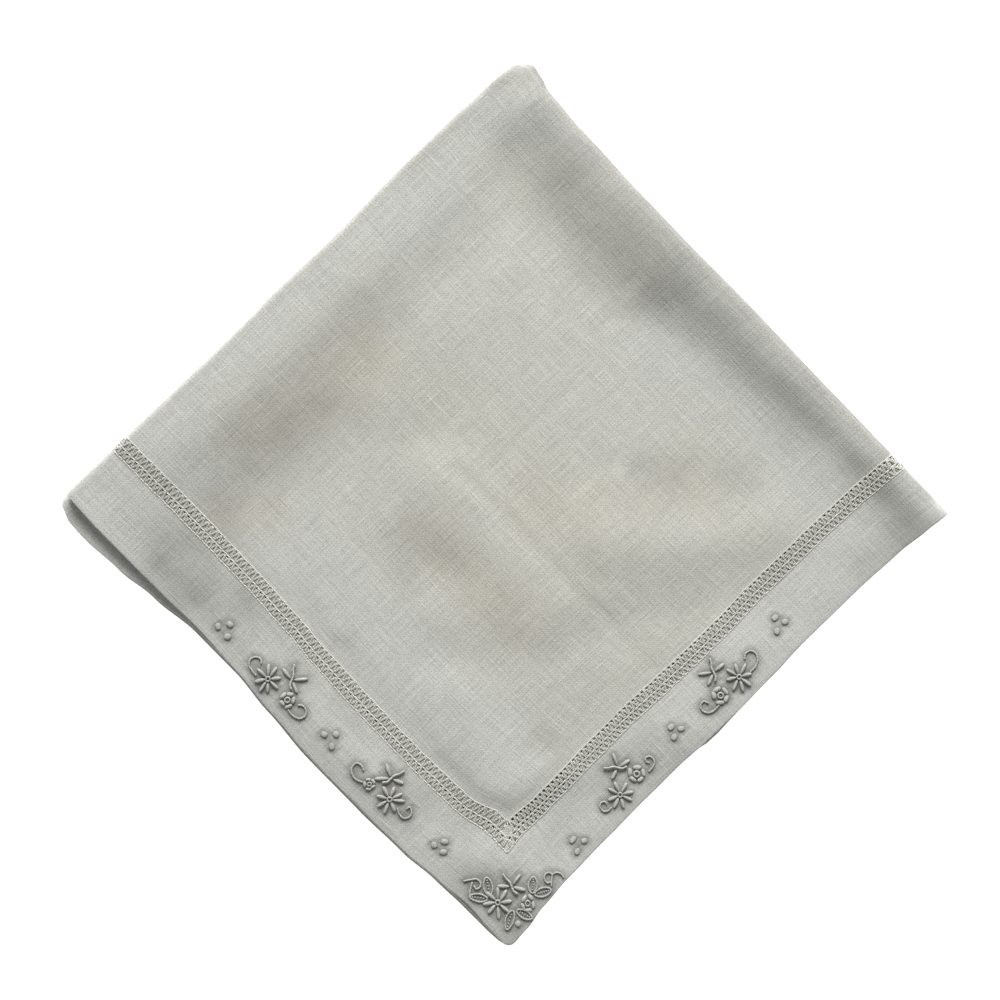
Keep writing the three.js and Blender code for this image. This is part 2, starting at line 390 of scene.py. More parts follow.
def thread_tubes(paths: np.ndarray, radii: np.ndarray, sides: int) -> FlatMesh:
    """Lay closed round threads along paths on the flat cloth.

    Args:
        paths: Points of each path, paths by points by (u, v, offset).
        radii: Radius at each point, paths by points.
        sides: Corners round the thread, an even number.

    Returns:
        One mesh with all the threads, its pattern running in millimetres along and turns around.
    """
    count, length, _ = paths.shape
    ahead = np.gradient(paths, axis=1)
    across = np.stack([-ahead[..., 1], ahead[..., 0], np.zeros((count, length))], axis=-1)
    across /= np.maximum(np.linalg.norm(across, axis=-1, keepdims=True), 1e-9)
    up = np.array([0.0, 0.0, 1.0])
    turn = np.arange(sides) / sides * 2 * math.pi
    cos, sin = np.cos(turn)[:, None], np.sin(turn)[:, None]
    ring = across[:, :, None, :] * cos + up * sin
    points = paths[:, :, None, :] + ring * radii[:, :, None, None]
    index = np.arange(count * length * sides).reshape(count, length, sides)
    here, after = index[:, :-1, :], index[:, 1:, :]
    wall = np.stack([here, np.roll(here, -1, axis=2), np.roll(after, -1, axis=2), after], axis=-1)
    caps = []
    for k in range(sides // 2 - 1):
        corners = [k, k + 1, sides - 2 - k, sides - 1 - k]
        caps.append(index[:, 0, corners[::-1]])
        caps.append(index[:, -1, corners])
    quads = np.concatenate([wall.reshape(-1, 4)] + caps)
    steps = np.linalg.norm(np.diff(paths, axis=1), axis=-1)
    run = np.concatenate([np.zeros((count, 1)), np.cumsum(steps, axis=1)], axis=1)
    along = np.repeat(run[:, :, None], sides, axis=2)
    around = np.broadcast_to(np.arange(sides) / sides, along.shape)
    pattern = np.stack([along, around], axis=-1).reshape(-1, 2)
    return FlatMesh(points.reshape(-1, 3), quads.ravel(), np.full(len(quads), 4), pattern)


# Shading


@dataclass(frozen=True)
class Signal:
    """One number in a shader. Arithmetic on it adds Math nodes."""

    graph: Graph
    socket: bpy.types.NodeSocket

    def _with(self, operation: str, *values: object) -> Signal:
        """Return a Math node's result for this operation."""
        made = self.graph.node("ShaderNodeMath", {"operation": operation}, dict(enumerate(values)))
        return Signal(self.graph, made.outputs[0])

    def __add__(self, other: object) -> Signal:
        """Return the sum."""
        return self._with("ADD", self, other)

    __radd__ = __add__

    def __sub__(self, other: object) -> Signal:
        """Return this less the other."""
        return self._with("SUBTRACT", self, other)

    def __rsub__(self, other: object) -> Signal:
        """Return the other less this."""
        return self._with("SUBTRACT", other, self)

    def __mul__(self, other: object) -> Signal:
        """Return the product."""
        return self._with("MULTIPLY", self, other)

    __rmul__ = __mul__

    def __abs__(self) -> Signal:
        """Return the size without its sign."""
        return self._with("ABSOLUTE", self)

    def wave(self, pitch: float) -> Signal:
        """Return a sine of this with the given pitch."""
        return self._with("SINE", self * (2 * math.pi / pitch))

    def larger(self, other: object) -> Signal:
        """Return the larger of the two."""
        return self._with("MAXIMUM", self, other)

    def eased(self, low: float, high: float) -> Signal:
        """Return 0 below low and 1 above high, eased between them.

        Args:
            low: Where the result is 0.
            high: Where the result is 1. It may be under low, to turn the step round.

        Returns:
            The eased step.
        """
        falls = float(high < low)
        limits = {"Value": self, "From Min": min(low, high), "From Max": max(low, high),
                  "To Min": falls, "To Max": 1.0 - falls}
        made = self.graph.node("ShaderNodeMapRange", {"interpolation_type": "SMOOTHSTEP"}, limits)
        return Signal(self.graph, made.outputs["Result"])


@dataclass
class Graph:
    """The node tree of one material."""

    name: str
    material: bpy.types.Material = field(init=False)

    def __post_init__(self) -> None:
        """Make the material with only its output."""
        self.material = bpy.data.materials.new(self.name)
        self.material.use_nodes = True
        self.material.node_tree.nodes.clear()

    def node(self, kind: str, settings: dict[str, object],
             inputs: dict[object, object]) -> bpy.types.Node:
        """Add a node.

        Args:
            kind: The node's type.
            settings: Its settings, set first.
            inputs: A value, a socket or a Signal for each socket, by name or number.

        Returns:
            The new node.
        """
        tree = self.material.node_tree
        made = tree.nodes.new(kind)
        for name, value in settings.items():
            setattr(made, name, value)
        for key, value in inputs.items():
            value = value.socket if isinstance(value, Signal) else value
            if isinstance(value, bpy.types.NodeSocket):
                tree.links.new(value, made.inputs[key])
            else:
                made.inputs[key].default_value = value
        return made

    def flat_place(self, scale: float, shift: float) -> tuple[Signal, Signal]:
        """Read the piece's own pattern places.

        Args:
            scale: What they are multiplied by.
            shift: What is added after that.

        Returns:
            The two places, as signals.
        """
        source = self.node("ShaderNodeUVMap", {"uv_map": FLAT_UV}, {})
        parts = self.node("ShaderNodeSeparateXYZ", {}, {0: source.outputs[0]})
        x, y = (Signal(self, parts.outputs[k]) * scale + shift for k in (0, 1))
        return x, y

    def noise(self, x: Signal, y: Signal, seed: float, detail: float) -> Signal:
        """Add soft noise over two signals.

        Args:
            x: First place, already in cells of the noise.
            y: Second place, likewise.
            seed: Which slice of the noise to take.
            detail: How much finer noise is added.

        Returns:
            The noise, about 0 to 1 and mostly near a half.
        """
        at = self.node("ShaderNodeCombineXYZ", {}, {0: x, 1: y, 2: seed})
        inputs = {"Vector": at.outputs[0], "Scale": 1.0, "Detail": detail}
        made = self.node("ShaderNodeTexNoise", {}, inputs)
        return Signal(self, made.outputs[0])

    def blend(self, share: object, low: object, high: object) -> bpy.types.NodeSocket:
        """Mix two colours.

        Args:
            share: How much of the second colour shows.
            low: First colour, as a value or a socket.
            high: Second colour, likewise.

        Returns:
            The mixed colour's socket.
        """
        made = self.node("ShaderNodeMix", {"data_type": "RGBA"}, {0: share, 6: low, 7: high})
        return made.outputs[2]

    def scaled(self, colour: bpy.types.NodeSocket, factor: Signal) -> bpy.types.NodeSocket:
        """Multiply a colour by a number."""
        made = self.node("ShaderNodeVectorMath", {"operation": "SCALE"}, {0: colour, "Scale": factor})
        return made.outputs[0]

    def held(self, name: str) -> Signal:
        """Read a value that the mesh holds at its points."""
        made = self.node("ShaderNodeAttribute", {"attribute_name": name}, {})
        return Signal(self, made.outputs["Fac"])

    def finish(self, colour: object, roughness: float, height: Signal | None,
               glow: float = 0.0) -> None:
        """End the material in one shader.

        Args:
            colour: Base colour.
            roughness: Roughness.
            height: Relief of the surface in millimetres, or None.
            glow: Light the surface gives off by itself.
        """
        inputs: dict[object, object] = {"Base Color": colour, "Roughness": roughness,
                                        "Specular IOR Level": 0.2}
        if glow > 0:
            inputs["Emission Color"] = (1.0, 1.0, 1.0, 1.0)
            inputs["Emission Strength"] = glow
        if height is not None:
            bump = self.node("ShaderNodeBump", {}, {"Strength": 1.0, "Distance": MM, "Height": height})
            inputs["Normal"] = bump.outputs[0]
        shader = self.node("ShaderNodeBsdfPrincipled", {}, inputs)
        self.node("ShaderNodeOutputMaterial", {}, {0: shader.outputs[0]})


@dataclass(frozen=True)
class LinenFinish:
    """Fine undyed linen: plain weave, uneven threads, a cooler hem, warm old stains, and painted shade
    with some old soil.
    """

    side: float = 280.0
    half: float = 140.0
    thread_pitch: float = 0.34
    hem_line: float = 13.6
    seam_line: float = 12.2
    ground: Colour = (0.476, 0.480, 0.449, 1.0)
    stain: Colour = (0.470, 0.449, 0.374, 1.0)
    hem: Colour = (0.480, 0.488, 0.460, 1.0)
    # colour of the painted shade, with some old soil, round the stitches and along the folds
    grey: Colour = (0.140, 0.134, 0.121, 1.0)
    shade_share: float = 0.8
    hem_blend: float = 0.3
    seam_wide: float = 0.35
    roughness: float = 0.9

    def material(self) -> bpy.types.Material:
        """Build the linen's material.

        Returns:
            The material, which reads the flat place and the painted shade, with some old soil, round
            the flowers and along the folds.
        """
        graph = Graph("linen")
        x, y = graph.flat_place(self.side, -self.half)
        from_edge = self.half - abs(x).larger(abs(y))
        in_hem = from_edge.eased(self.hem_line + self.hem_blend, self.hem_line - self.hem_blend)

        warp = graph.noise(x * 2.9, y * 0.10, 3.0, 1.0)
        weft = graph.noise(x * 0.10, y * 2.9, 11.0, 1.0)
        bands = graph.noise(x * 0.8, y * 0.05, 41.0, 1.0) + graph.noise(x * 0.05, y * 0.8, 43.0, 1.0)
        grain = graph.noise(x * 3.7, y * 3.7, 21.0, 1.0)
        knots = graph.noise(x * 0.7, y * 0.7, 23.0, 2.0)
        slub_warp = graph.noise(x * 2.4, y * 0.13, 31.0, 0.0).eased(0.73, 0.79)
        slub_weft = graph.noise(x * 0.13, y * 2.4, 37.0, 0.0).eased(0.72, 0.78)
        cloudy = graph.noise(x * 0.035, y * 0.035, 5.0, 2.0)
        uneven = graph.noise(x * 0.12, y * 0.12, 17.0, 3.0) * 0.9 + 0.55

        base = graph.blend(graph.held(WARMTH) * uneven * (1 - in_hem), self.ground, self.stain)
        base = graph.blend(in_hem, base, self.hem)
        # painted shade, with some old soil, darkens the linen where the mesh holds it
        base = graph.blend(graph.held(SHADE_AND_SOIL) * uneven * self.shade_share, base, self.grey)
        tone = (1 + (warp - 0.5) * 0.34 + (weft - 0.5) * 0.34 + (bands - 1.0) * 0.08
                + (grain - 0.5) * 1.0 + (knots - 0.5) * 0.18 + (cloudy - 0.5) * 0.06
                + slub_warp * 0.09 + slub_weft * 0.11)

        over = x.wave(2 * self.thread_pitch) * y.wave(2 * self.thread_pitch)
        seam = abs(from_edge - self.seam_line).eased(self.seam_wide, 0.0) * in_hem
        relief = (over * 0.006 + warp * 0.05 + weft * 0.05 + grain * 0.05 + knots * 0.05
                  + (slub_warp + slub_weft) * 0.03 + seam * 0.012)
        graph.finish(graph.scaled(base, tone), self.roughness, relief)
        return graph.material


@dataclass(frozen=True)
class ThreadFinish:
    """Twisted sewing thread: its plies run slantwise round it."""

    name: str = "hemstitch_thread"
    colour: Colour = (0.68, 0.68, 0.625, 1.0)
    shade: Colour = (0.59, 0.585, 0.535, 1.0)
    # colour of the painted shade at the foot of a stitch, where it meets the cloth
    foot_shade_colour: Colour = (0.16, 0.158, 0.147, 1.0)
    ply_pitch: float = 0.42
    ply_lift: float = 0.05
    ply_shade: float = 0.05
    foot_shade_share: float = 0.65
    roughness: float = 0.85

    def material(self) -> bpy.types.Material:
        """Build the thread's material.

        Returns:
            The material, which reads millimetres along, turns around, and the painted shade at its
            foot.
        """
        graph = Graph(self.name)
        along, around = graph.flat_place(1.0, 0.0)
        ply = (along * (1 / self.ply_pitch) + around * 2).wave(1.0)
        patchy = graph.noise(along * 0.6, around, 4.0, 2.0).eased(0.35, 0.65)
        colour = graph.blend(patchy, self.shade, self.colour)
        # painted shade darkens the thread towards its foot
        colour = graph.blend(graph.held(SHADE_AND_SOIL) * self.foot_shade_share, colour, self.foot_shade_colour)
        # painted shade in the grooves between the plies, beside their bump
        colour = graph.scaled(colour, 1 + ply * self.ply_shade)
        graph.finish(colour, self.roughness, ply * self.ply_lift)
        return graph.material


# Cloth


@dataclass(frozen=True)
class LinenSheet:
    """The square of linen with its turned hem and the drawn-out rows of the hemstitch."""

    pack: FoldedPack
    right_side: float = 0.5
    ground_thick: float = 0.28
    hem_thick: float = 0.60
    hem_inner: float = 13.4
    hem_ramp: float = 0.2
    fine_step: float = 1.0
    coarse_step: float = 3.4
    # steps over a quarter turn of the first and the second fold
    fold_steps: tuple[int, int] = (4, 6)
    corner_round: float = 2.2
    sharp_degrees: float = 50.0
    # drawn-out rows: start and end, in from the edge
    rows: tuple[Place, ...] = ((15.75, 17.45), (13.95, 15.35))
    edge_steps: tuple[float, ...] = (0.3, 0.2, 0.1, 0.03, 0.0)
    # x0, y0, x1, y1, reach, depth: mostly painted shade on the layer on top, where its folds, troughs
    # and creases turn from the light, with some old soil
    shade_strokes: Table = (
        (-42, 55, -9, 56, 13, 0.23), (-55, 61, -46, 60, 8, 0.17), (-13, 61, 57, 61, 6, 0.20),
        (-50, -37, -50, 4, 14, 0.20), (-43, -53, -42, -18, 13, 0.22), (-52, 4, -50, 36, 10, 0.12),
        (-10, -25, -2, -20, 9, 0.18), (17, 24, 24, 29, 7, 0.20), (31, -6, 45, 14, 6, 0.07),
        (10, -26, 21, -23, 7, 0.12), (-44, -62, -28, -61, 11, 0.36), (-45, -68, -34, -68, 8, 0.30),
        (-38, -68, -13, -68, 7, 0.20), (-26, -61, 44, -61, 6, 0.17), (-24, -62, -4, -62, 6, 0.12),
        (54, -69, 68, -69, 7, 0.36), (57, -66, 67, -62, 8, 0.34), (48, 59, 64, 59, 6, 0.34),
        (-52, 60, 40, 60, 7, 0.08), (67, 46, 68, 57, 8, 0.28), (30, -53, 50, -53, 2.5, 0.20),
        (50, -53, 50, -36, 2.5, 0.16), (-14, -4, 35, -3, 1.6, 0.12), (-5, -52, -3, -50, 4, 0.22),
        (30, 37, 34, 41, 7, 0.14), (-66, 61, 36, 61, 8, 0.10), (-46, 56, 30, 56, 12, 0.18),
        (-66, 66.9, 64, 66.9, 3.2, 0.66), (-70.3, -60, -70.3, 60, 4, 0.14), (58, 60, 68, 57, 7, 0.22),
        (68, -46, 69, -10, 5, 0.16), (-20, -52, 46, -52, 5, 0.13), (43, -34, 50, -34, 5, 0.22),
        (-53, -66, -44, -52, 10, 0.14), (68, 20, 69, 44, 4, 0.06), (-6, -31, -2, -32, 6, 0.22),
        (8, -34, 22, -32, 7, 0.12), (67, -24, 68, -16, 6, 0.18), (58, -36, 62, -18, 5, 0.12),
        (59, -46, 61, -18, 5, 0.11), (-70, 60, -66, 64.5, 5, 0.32), (26, -64, 34, -62, 5, 0.18),
        (5, -61, 11, -61, 4, 0.22), (66, -62, 69, -58, 5, 0.22), (-44, -70, -36, -70, 5, 0.32),
        (-70, 34, -69, 48, 6, 0.14), (-52, 22, -51, 34, 8, 0.11), (-54, -46, -46, -28, 14, 0.16),
        (16, 28, 34, 40, 7, 0.11),
    )
    # x0, y0, x1, y1, reach, strength: old warm stains
    stains: Table = (
        (-24, 0, 26, 2, 44, 0.32), (-50, -32, -46, -4, 15, 0.58), (-6, -22, 22, -20, 13, 0.50),
        (6, 2, 26, 26, 14, 0.30), (20, 36, 50, 30, 14, 0.30), (-48, 48, -20, 52, 16, 0.30),
        (-42, -52, -36, -44, 9, 0.50), (46, -30, 50, 12, 9, 0.22),
    )

    def stations(self, fold_radius: float, fold_steps: int, step: float) -> list[float]:
        """Place the mesh's lines from the cloth's middle to its edge.

        Args:
            fold_radius: Radius of the fold at the middle.
            fold_steps: Steps over a quarter turn.
            step: Longest step over the plain cloth.

        Returns:
            Distances from the middle, without the middle itself.
        """
        half = self.pack.half
        quarter = math.pi / 2 * fold_radius
        marks = sorted({half - d for row in self.rows for d in row})
        marks += [half - self.hem_inner + ramp for ramp in (-self.hem_ramp, self.hem_ramp)]
        marks.append(half - self.edge_steps[0])
        found = [quarter * k / fold_steps for k in range(1, fold_steps + 1)]
        for mark in sorted(marks):
            start = found[-1]
            count = max(1, math.ceil((mark - start) / step))
            found += [start + (mark - start) * k / count for k in range(1, count + 1)]
        return found + [half - d for d in self.edge_steps[1:]]

    def build(self, finish: bpy.types.Material, whitework: Whitework,
              stitches: FlatMesh) -> bpy.types.Object:
        """Make the sheet.

        Args:
            finish: The linen's material.
            whitework: The embroidery, which darkens the cloth round it with painted shade and some old
                soil.
            stitches: Its stitches on the flat cloth.

        Returns:
            The closed sheet, folded.
        """
        pack = self.pack
        first, second = zip((pack.first_radius, pack.second_radius), self.fold_steps)
        us = np.array([-d for d in self.stations(*first, self.coarse_step)][::-1] + [0.0]
                      + self.stations(*first, self.fine_step))
        vs = np.array([-d for d in self.stations(*second, self.fine_step)][::-1] + [0.0]
                      + self.stations(*second, self.coarse_step))
        across, down = len(us), len(vs)
        u, v = np.meshgrid(us, vs)
        from_edge = pack.half - np.maximum(np.abs(u), np.abs(v))
        thick = self.ground_thick + (self.hem_thick - self.ground_thick) * smooth(
            (self.hem_inner + self.hem_ramp - from_edge) / (2 * self.hem_ramp))
        radius = self.hem_thick / 2
        curve = radius - np.sqrt(np.maximum(radius**2 - np.clip(radius - from_edge, 0, radius) ** 2, 0))
        right = self.right_side - curve
        wrong = self.right_side - thick + curve

        kept = self.cloth_cells((us[1:] + us[:-1]) / 2, (vs[1:] + vs[:-1]) / 2)
        count = across * down
        index = np.arange(count).reshape(down, across)
        below = index + count
        rim = np.ones((down, across), bool)
        rim[1:-1, 1:-1] = False
        below[rim] = index[rim]

        def corners(grid: np.ndarray) -> np.ndarray:
            """Return the four corners of each kept cell."""
            return np.stack([grid[:-1, :-1], grid[:-1, 1:], grid[1:, 1:], grid[1:, :-1]], axis=-1)[kept]

        quads = [corners(index), corners(below)[:, ::-1], *self.walls(kept, index, below)]
        sides = [np.stack([u.ravel(), v.ravel(), side.ravel()], axis=1) for side in (right, wrong)]
        used, faces = np.unique(np.concatenate(quads), return_inverse=True)
        points = np.concatenate(sides)[used]
        pattern = points[:, :2] / (2 * pack.half) + 0.5
        points[:, :2] = self.rounded(points[:, :2])
        # painted shade, with some old soil, round the stitches and along the folds; and the warm stains
        held = {SHADE_AND_SOIL: self.stroked(points, self.shade_strokes, whitework.shade_and_soil(points, stitches)),
                WARMTH: self.stroked(points, self.stains, np.zeros(len(points)))}
        flat = FlatMesh(points, faces.ravel(), np.full(faces.size // 4, 4), pattern)
        piece = flat.build("linen_sheet", pack, finish, held)
        bpy.ops.object.select_all(action="DESELECT")
        piece.select_set(True)
        bpy.context.view_layer.objects.active = piece
        bpy.ops.object.shade_smooth_by_angle(angle=math.radians(self.sharp_degrees))
        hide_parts(NODE)
        return piece

    def cloth_cells(self, cell_u: np.ndarray, cell_v: np.ndarray) -> np.ndarray:
        """Find the cells that are cloth, not open where threads are drawn out.

        Args:
            cell_u: Middles of the cells along u.
            cell_v: Middles of the cells along v.

        Returns:
            Whether each cell is cloth.
        """
        across, down = self.pack.half - np.abs(cell_u), self.pack.half - np.abs(cell_v)
        row_u, row_v = np.meshgrid(self.row_of(across), self.row_of(down))
        past_u, past_v = np.meshgrid(across < self.rows[0][1], down < self.rows[0][1])
        drawn = ((row_u > 0) & ~past_v) | ((row_v > 0) & ~past_u)
        drawn |= (row_u > 0) & (row_v > 0) & (row_u != row_v)
        return ~(drawn & (cell_u > 0))

    def stroked(self, points: np.ndarray, strokes: Table, held: np.ndarray) -> np.ndarray:
        """Lay soft strokes over the top layer.

        Args:
            points: Rows of u, v and offset.
            strokes: The strokes' table.
            held: What the points hold before them.

        Returns:
            What each point holds after them, 0 to 1.
        """
        x, y = points[:, 0] + self.pack.first_fold_x, self.pack.second_fold_y + points[:, 1]
        on_top = (points[:, 0] > 0) & (points[:, 1] < 0)
        for x0, y0, x1, y1, reach, depth in strokes:
            share = depth * smooth(1 - line_distance(x, y, (x0, y0, x1, y1)) / reach)
            held = held + (1 - held) * share * on_top
        return held

    def rounded(self, flat: np.ndarray) -> np.ndarray:
        """Round off the sheet's four worn corners.

        Args:
            flat: Rows of u and v.

        Returns:
            The rows, drawn in at the corners.
        """
        start = self.pack.half - self.corner_round
        past = np.maximum(np.abs(flat) - start, 0.0)
        reach = np.maximum(np.hypot(past[:, 0], past[:, 1]), 1e-9)
        share = np.where(past.min(axis=1) > 0, past.max(axis=1) / reach, 1.0)
        return np.sign(flat) * (np.minimum(np.abs(flat), start) + past * share[:, None])

    def row_of(self, from_edge: np.ndarray) -> np.ndarray:
        """Number the drawn-out rows.

        Args:
            from_edge: Distances in from the edge.

        Returns:
            The number of the row at each distance, 0 for none.
        """
        found = np.zeros(from_edge.shape, int)
        for number, (start, end) in enumerate(self.rows, 1):
            found[(from_edge > start) & (from_edge < end)] = number
        return found

    def walls(self, kept: np.ndarray, index: np.ndarray, below: np.ndarray) -> list[np.ndarray]:
        """Close the sheet's thickness round the drawn-out rows.

        Args:
            kept: Which cells are cloth.
            index: Point numbers of the right side.
            below: Point numbers of the wrong side.

        Returns:
            The walls' faces.
        """
        found = []
        for cells, down, across, turn in (
            (kept[1:, :] & ~kept[:-1, :], 1, 0, -1), (kept[:-1, :] & ~kept[1:, :], 1, 0, 1),
            (kept[:, 1:] & ~kept[:, :-1], 0, 1, 1), (kept[:, :-1] & ~kept[:, 1:], 0, 1, -1),
        ):
            j, i = np.nonzero(cells)
            start, end = (j + down, i + across), (j + 1, i + 1)
            wall = np.stack([index[start], index[end], below[end], below[start]], axis=1)
            found.append(wall[:, ::turn])
        return found


@dataclass(frozen=True)
class Hemstitch:
    """Two rows of drawn-thread hemstitch: bundled strands between three stitched cords."""

    pack: FoldedPack
    # lines of the cords, in from the edge: inner, centre, outer
    cords: tuple[float, ...] = (17.7, 15.55, 13.75)
    pitch: float = 1.38
    offset: float = 0.40
    cord_radius: float = 0.20
    # a cord's thickness between its stitches and how much it swells at one, in radii
    cord_swell: Place = (0.72, 0.28)
    # height of each cord over the cloth, and of its stitches over it
    cord_lifts: tuple[float, ...] = (0.02, 0.05, 0.02)
    stitch_lift: float = 0.04
    # how far a cord wanders, and over how long a line and how many marks that is drawn
    wander: float = 0.05
    wander_run: float = 142.0
    wander_marks: int = 220
    # how far the stitches run on past the folds, and a row past its cords
    overlap: float = 3.0
    row_spare: float = 0.25
    strand_radius: float = 0.135
    strand_lean: float = 0.07
    # half a bundle's width and how far its middle draws in
    strand_bow: Place = (0.13, 0.04)
    # a strand's height, how far its two ways cross over, and how far its middle bows up
    strand_lift: Size = (0.04, 0.04, 0.03)
    # a strand's thickness at its ends and how much less at its middle, in radii
    strand_waist: Place = (1.2, 0.3)
    straight_radius: float = 0.14
    straight_pitch: float = 0.27
    straight_lean: float = 0.04
    straight_drop: float = 0.12
    # share of the pitch over which the single threads are pulled clear, and the same near the open end
    hole_share: float = 0.17
    open_share: float = 0.24
    # for the inner and outer row, where the threads between the bundles start and end across it
    side_holes: tuple[Place, ...] = ((0.24, 0.86), (0.20, 0.88))
    lower_holes: tuple[Place, ...] = ((0.10, 0.94), (0.24, 0.86))
    # how far along the side band the threads stay apart, and where they stop there
    open_run: float = 36.0
    open_holes: tuple[Place, ...] = ((0.32, 0.79), (0.26, 0.82))
    # crossed stitches at a corner: how far past the cords' lines they reach, their height and bow
    corner_ends: Size = (0.1, 0.3, 1.3)
    corner_lift: Place = (0.16, 0.06)
    corner_radius: float = 0.14
    corner_points: int = 7
    seed: int = 7

    def ends(self, line: float) -> float:
        """Return how far a cord on a line runs from the middle of its side."""
        return self.pack.half - line

    def on_side(self, side: int, along: np.ndarray, from_edge: np.ndarray,
                offset: np.ndarray) -> np.ndarray:
        """Place points beside one side of the cloth.

        Args:
            side: 0 for +u, 1 for +v, 2 for -u, 3 for -v.
            along: Distances along the side from its middle.
            from_edge: Distances in from the edge.
            offset: Offsets from the sheet's middle.

        Returns:
            The points, with u, v and offset last.
        """
        reach = self.pack.half - from_edge
        u, v = ((reach, along), (along, reach), (-reach, along), (along, -reach))[side]
        return np.stack([u, v, offset], axis=-1)

    def cord_mesh(self, detail: Detail) -> FlatMesh:
        """Lay the three cords round the cloth.

        Args:
            detail: Which part of them, on the top layer or under it.

        Returns:
            The cords of that part.
        """
        rng = np.random.default_rng(self.seed)
        step, sides = (self.pitch / 6, 6) if detail is Detail.FINE else (self.pitch, 4)
        thin, swell = self.cord_swell
        marks = np.linspace(-self.wander_run, self.wander_run, self.wander_marks)
        parts = []
        for side in range(4):
            for number, line in enumerate(self.cords):
                start, end = self.stretch(side, self.ends(line), detail)
                if end - start < self.pitch:
                    continue
                count = max(3, int((end - start) / step))
                along = np.linspace(start, end, count)
                stitch = np.abs(np.sin(math.pi * along / (self.pitch / 2)))
                radius = self.cord_radius * (thin + swell * stitch)
                wander = self.wander * np.interp(along, marks, rng.normal(0, 1, len(marks)))
                lift = self.stitch_lift * stitch + self.cord_lifts[number]
                path = self.on_side(side, along, line + wander, self.offset + lift)
                parts.append(thread_tubes(path[None], radius[None], sides))
        return FlatMesh.joined(parts)

    def stretch(self, side: int, reach: float, detail: Detail) -> Place:
        """Find the stretch of a side that lies on the top layer or under it.

        Args:
            side: Number of the side.
            reach: Distance from the side's middle to its end.
            detail: Fine on the top layer, plain elsewhere.

        Returns:
            Where the stretch starts and ends along the side.
        """
        over = self.overlap
        if detail is Detail.FINE:
            return {0: (-reach, over), 3: (-over, reach)}.get(side, (0.0, 0.0))
        return ((over, reach), (-reach, reach), (-reach, reach), (-reach, -over))[side]

    def strand_mesh(self, detail: Detail) -> FlatMesh:
        """Lay the bundled strands in both rows.

        Args:
            detail: Which part of them, on the top layer or under it.

        Returns:
            The strands of that part.
        """
        rng = np.random.default_rng(self.seed + 1)
        spread, points = ((-1.0, 1.0), 5) if detail is Detail.FINE else ((0.0,), 2)
        share = np.linspace(0, 1, points)
        belly = np.sin(math.pi * share)
        thin = self.strand_radius * (self.strand_waist[0] - self.strand_waist[1] * belly)
        wide, drawn = self.strand_bow
        height, cross, bow_up = self.strand_lift
        paths, radii = [], []
        for side in range(4):
            for row in range(2):
                across = self.cords[1] + (self.cords[2 * row] - self.cords[1]) * share
                start, end = self.stretch(side, self.ends(self.cords[row]) + self.row_spare, detail)
                if end - start < self.pitch:
                    continue
                knots = np.arange(start, end, self.pitch)
                lean = rng.normal(0, self.strand_lean, (2, len(knots) + 1))
                for half_step in (-0.5, 0.5):
                    top = knots + lean[0, :-1]
                    foot = knots + half_step * self.pitch + lean[1, :-1]
                    rise = self.offset + height + cross * half_step + bow_up * belly
                    for strand in spread:
                        bow = strand * (wide - drawn * belly[None, :])
                        along = top[:, None] + (foot - top)[:, None] * share[None, :] + bow
                        *path, radius = np.broadcast_arrays(along, across, rise, thin)
                        paths.append(self.on_side(side, *path))
                        radii.append(radius)
                if side in (0, 1) or detail is Detail.FINE:
                    paths.append(self.straight_strands(side, row, start, end, rng, points))
                    radii.append(np.full(paths[-1].shape[:2], self.straight_radius))
        return thread_tubes(np.concatenate(paths), np.concatenate(radii), 4)

    def straight_strands(self, side: int, row: int, start: float, end: float,
                         rng: np.random.Generator, points: int) -> np.ndarray:
        """Lay the single threads left in a drawn-out row, under its bundles.

        They are pulled clear of the cords midway between the bundles' roots, which leaves small holes.

        Args:
            side: Number of the side.
            row: 0 for the inner row, 1 for the outer one.
            start: Where the row starts along the side.
            end: Where it ends.
            rng: Source of their small unevenness.
            points: Points of each thread.

        Returns:
            The threads' paths.
        """
        inner, outer = self.cords[row], self.cords[row + 1]
        at = np.arange(start, end, self.straight_pitch)
        turn = (at - start) / self.pitch % 1.0
        near_start = (at < self.open_run - self.pack.half) & (side == 0)
        holes = (self.side_holes if side == 0 else self.lower_holes)[row]
        first, last = (np.where(near_start, self.open_holes[row][k], holes[k]) for k in (0, 1))
        reach = np.where(near_start, self.open_share, self.hole_share)
        by_knot = np.minimum(turn, 1 - turn) < reach
        by_middle = np.abs(turn - 0.5) < reach
        opens = np.where(by_knot if row == 0 else by_middle, first, 0.0)
        closes = np.where(by_middle if row == 0 else by_knot, last, 1.0)
        share = opens[:, None] + (closes - opens)[:, None] * np.linspace(0, 1, points)
        along = at[:, None] + rng.normal(0, self.straight_lean, (len(at), points))
        across = inner + (outer - inner) * share
        return self.on_side(side, along, across, np.full(along.shape, self.offset - self.straight_drop))

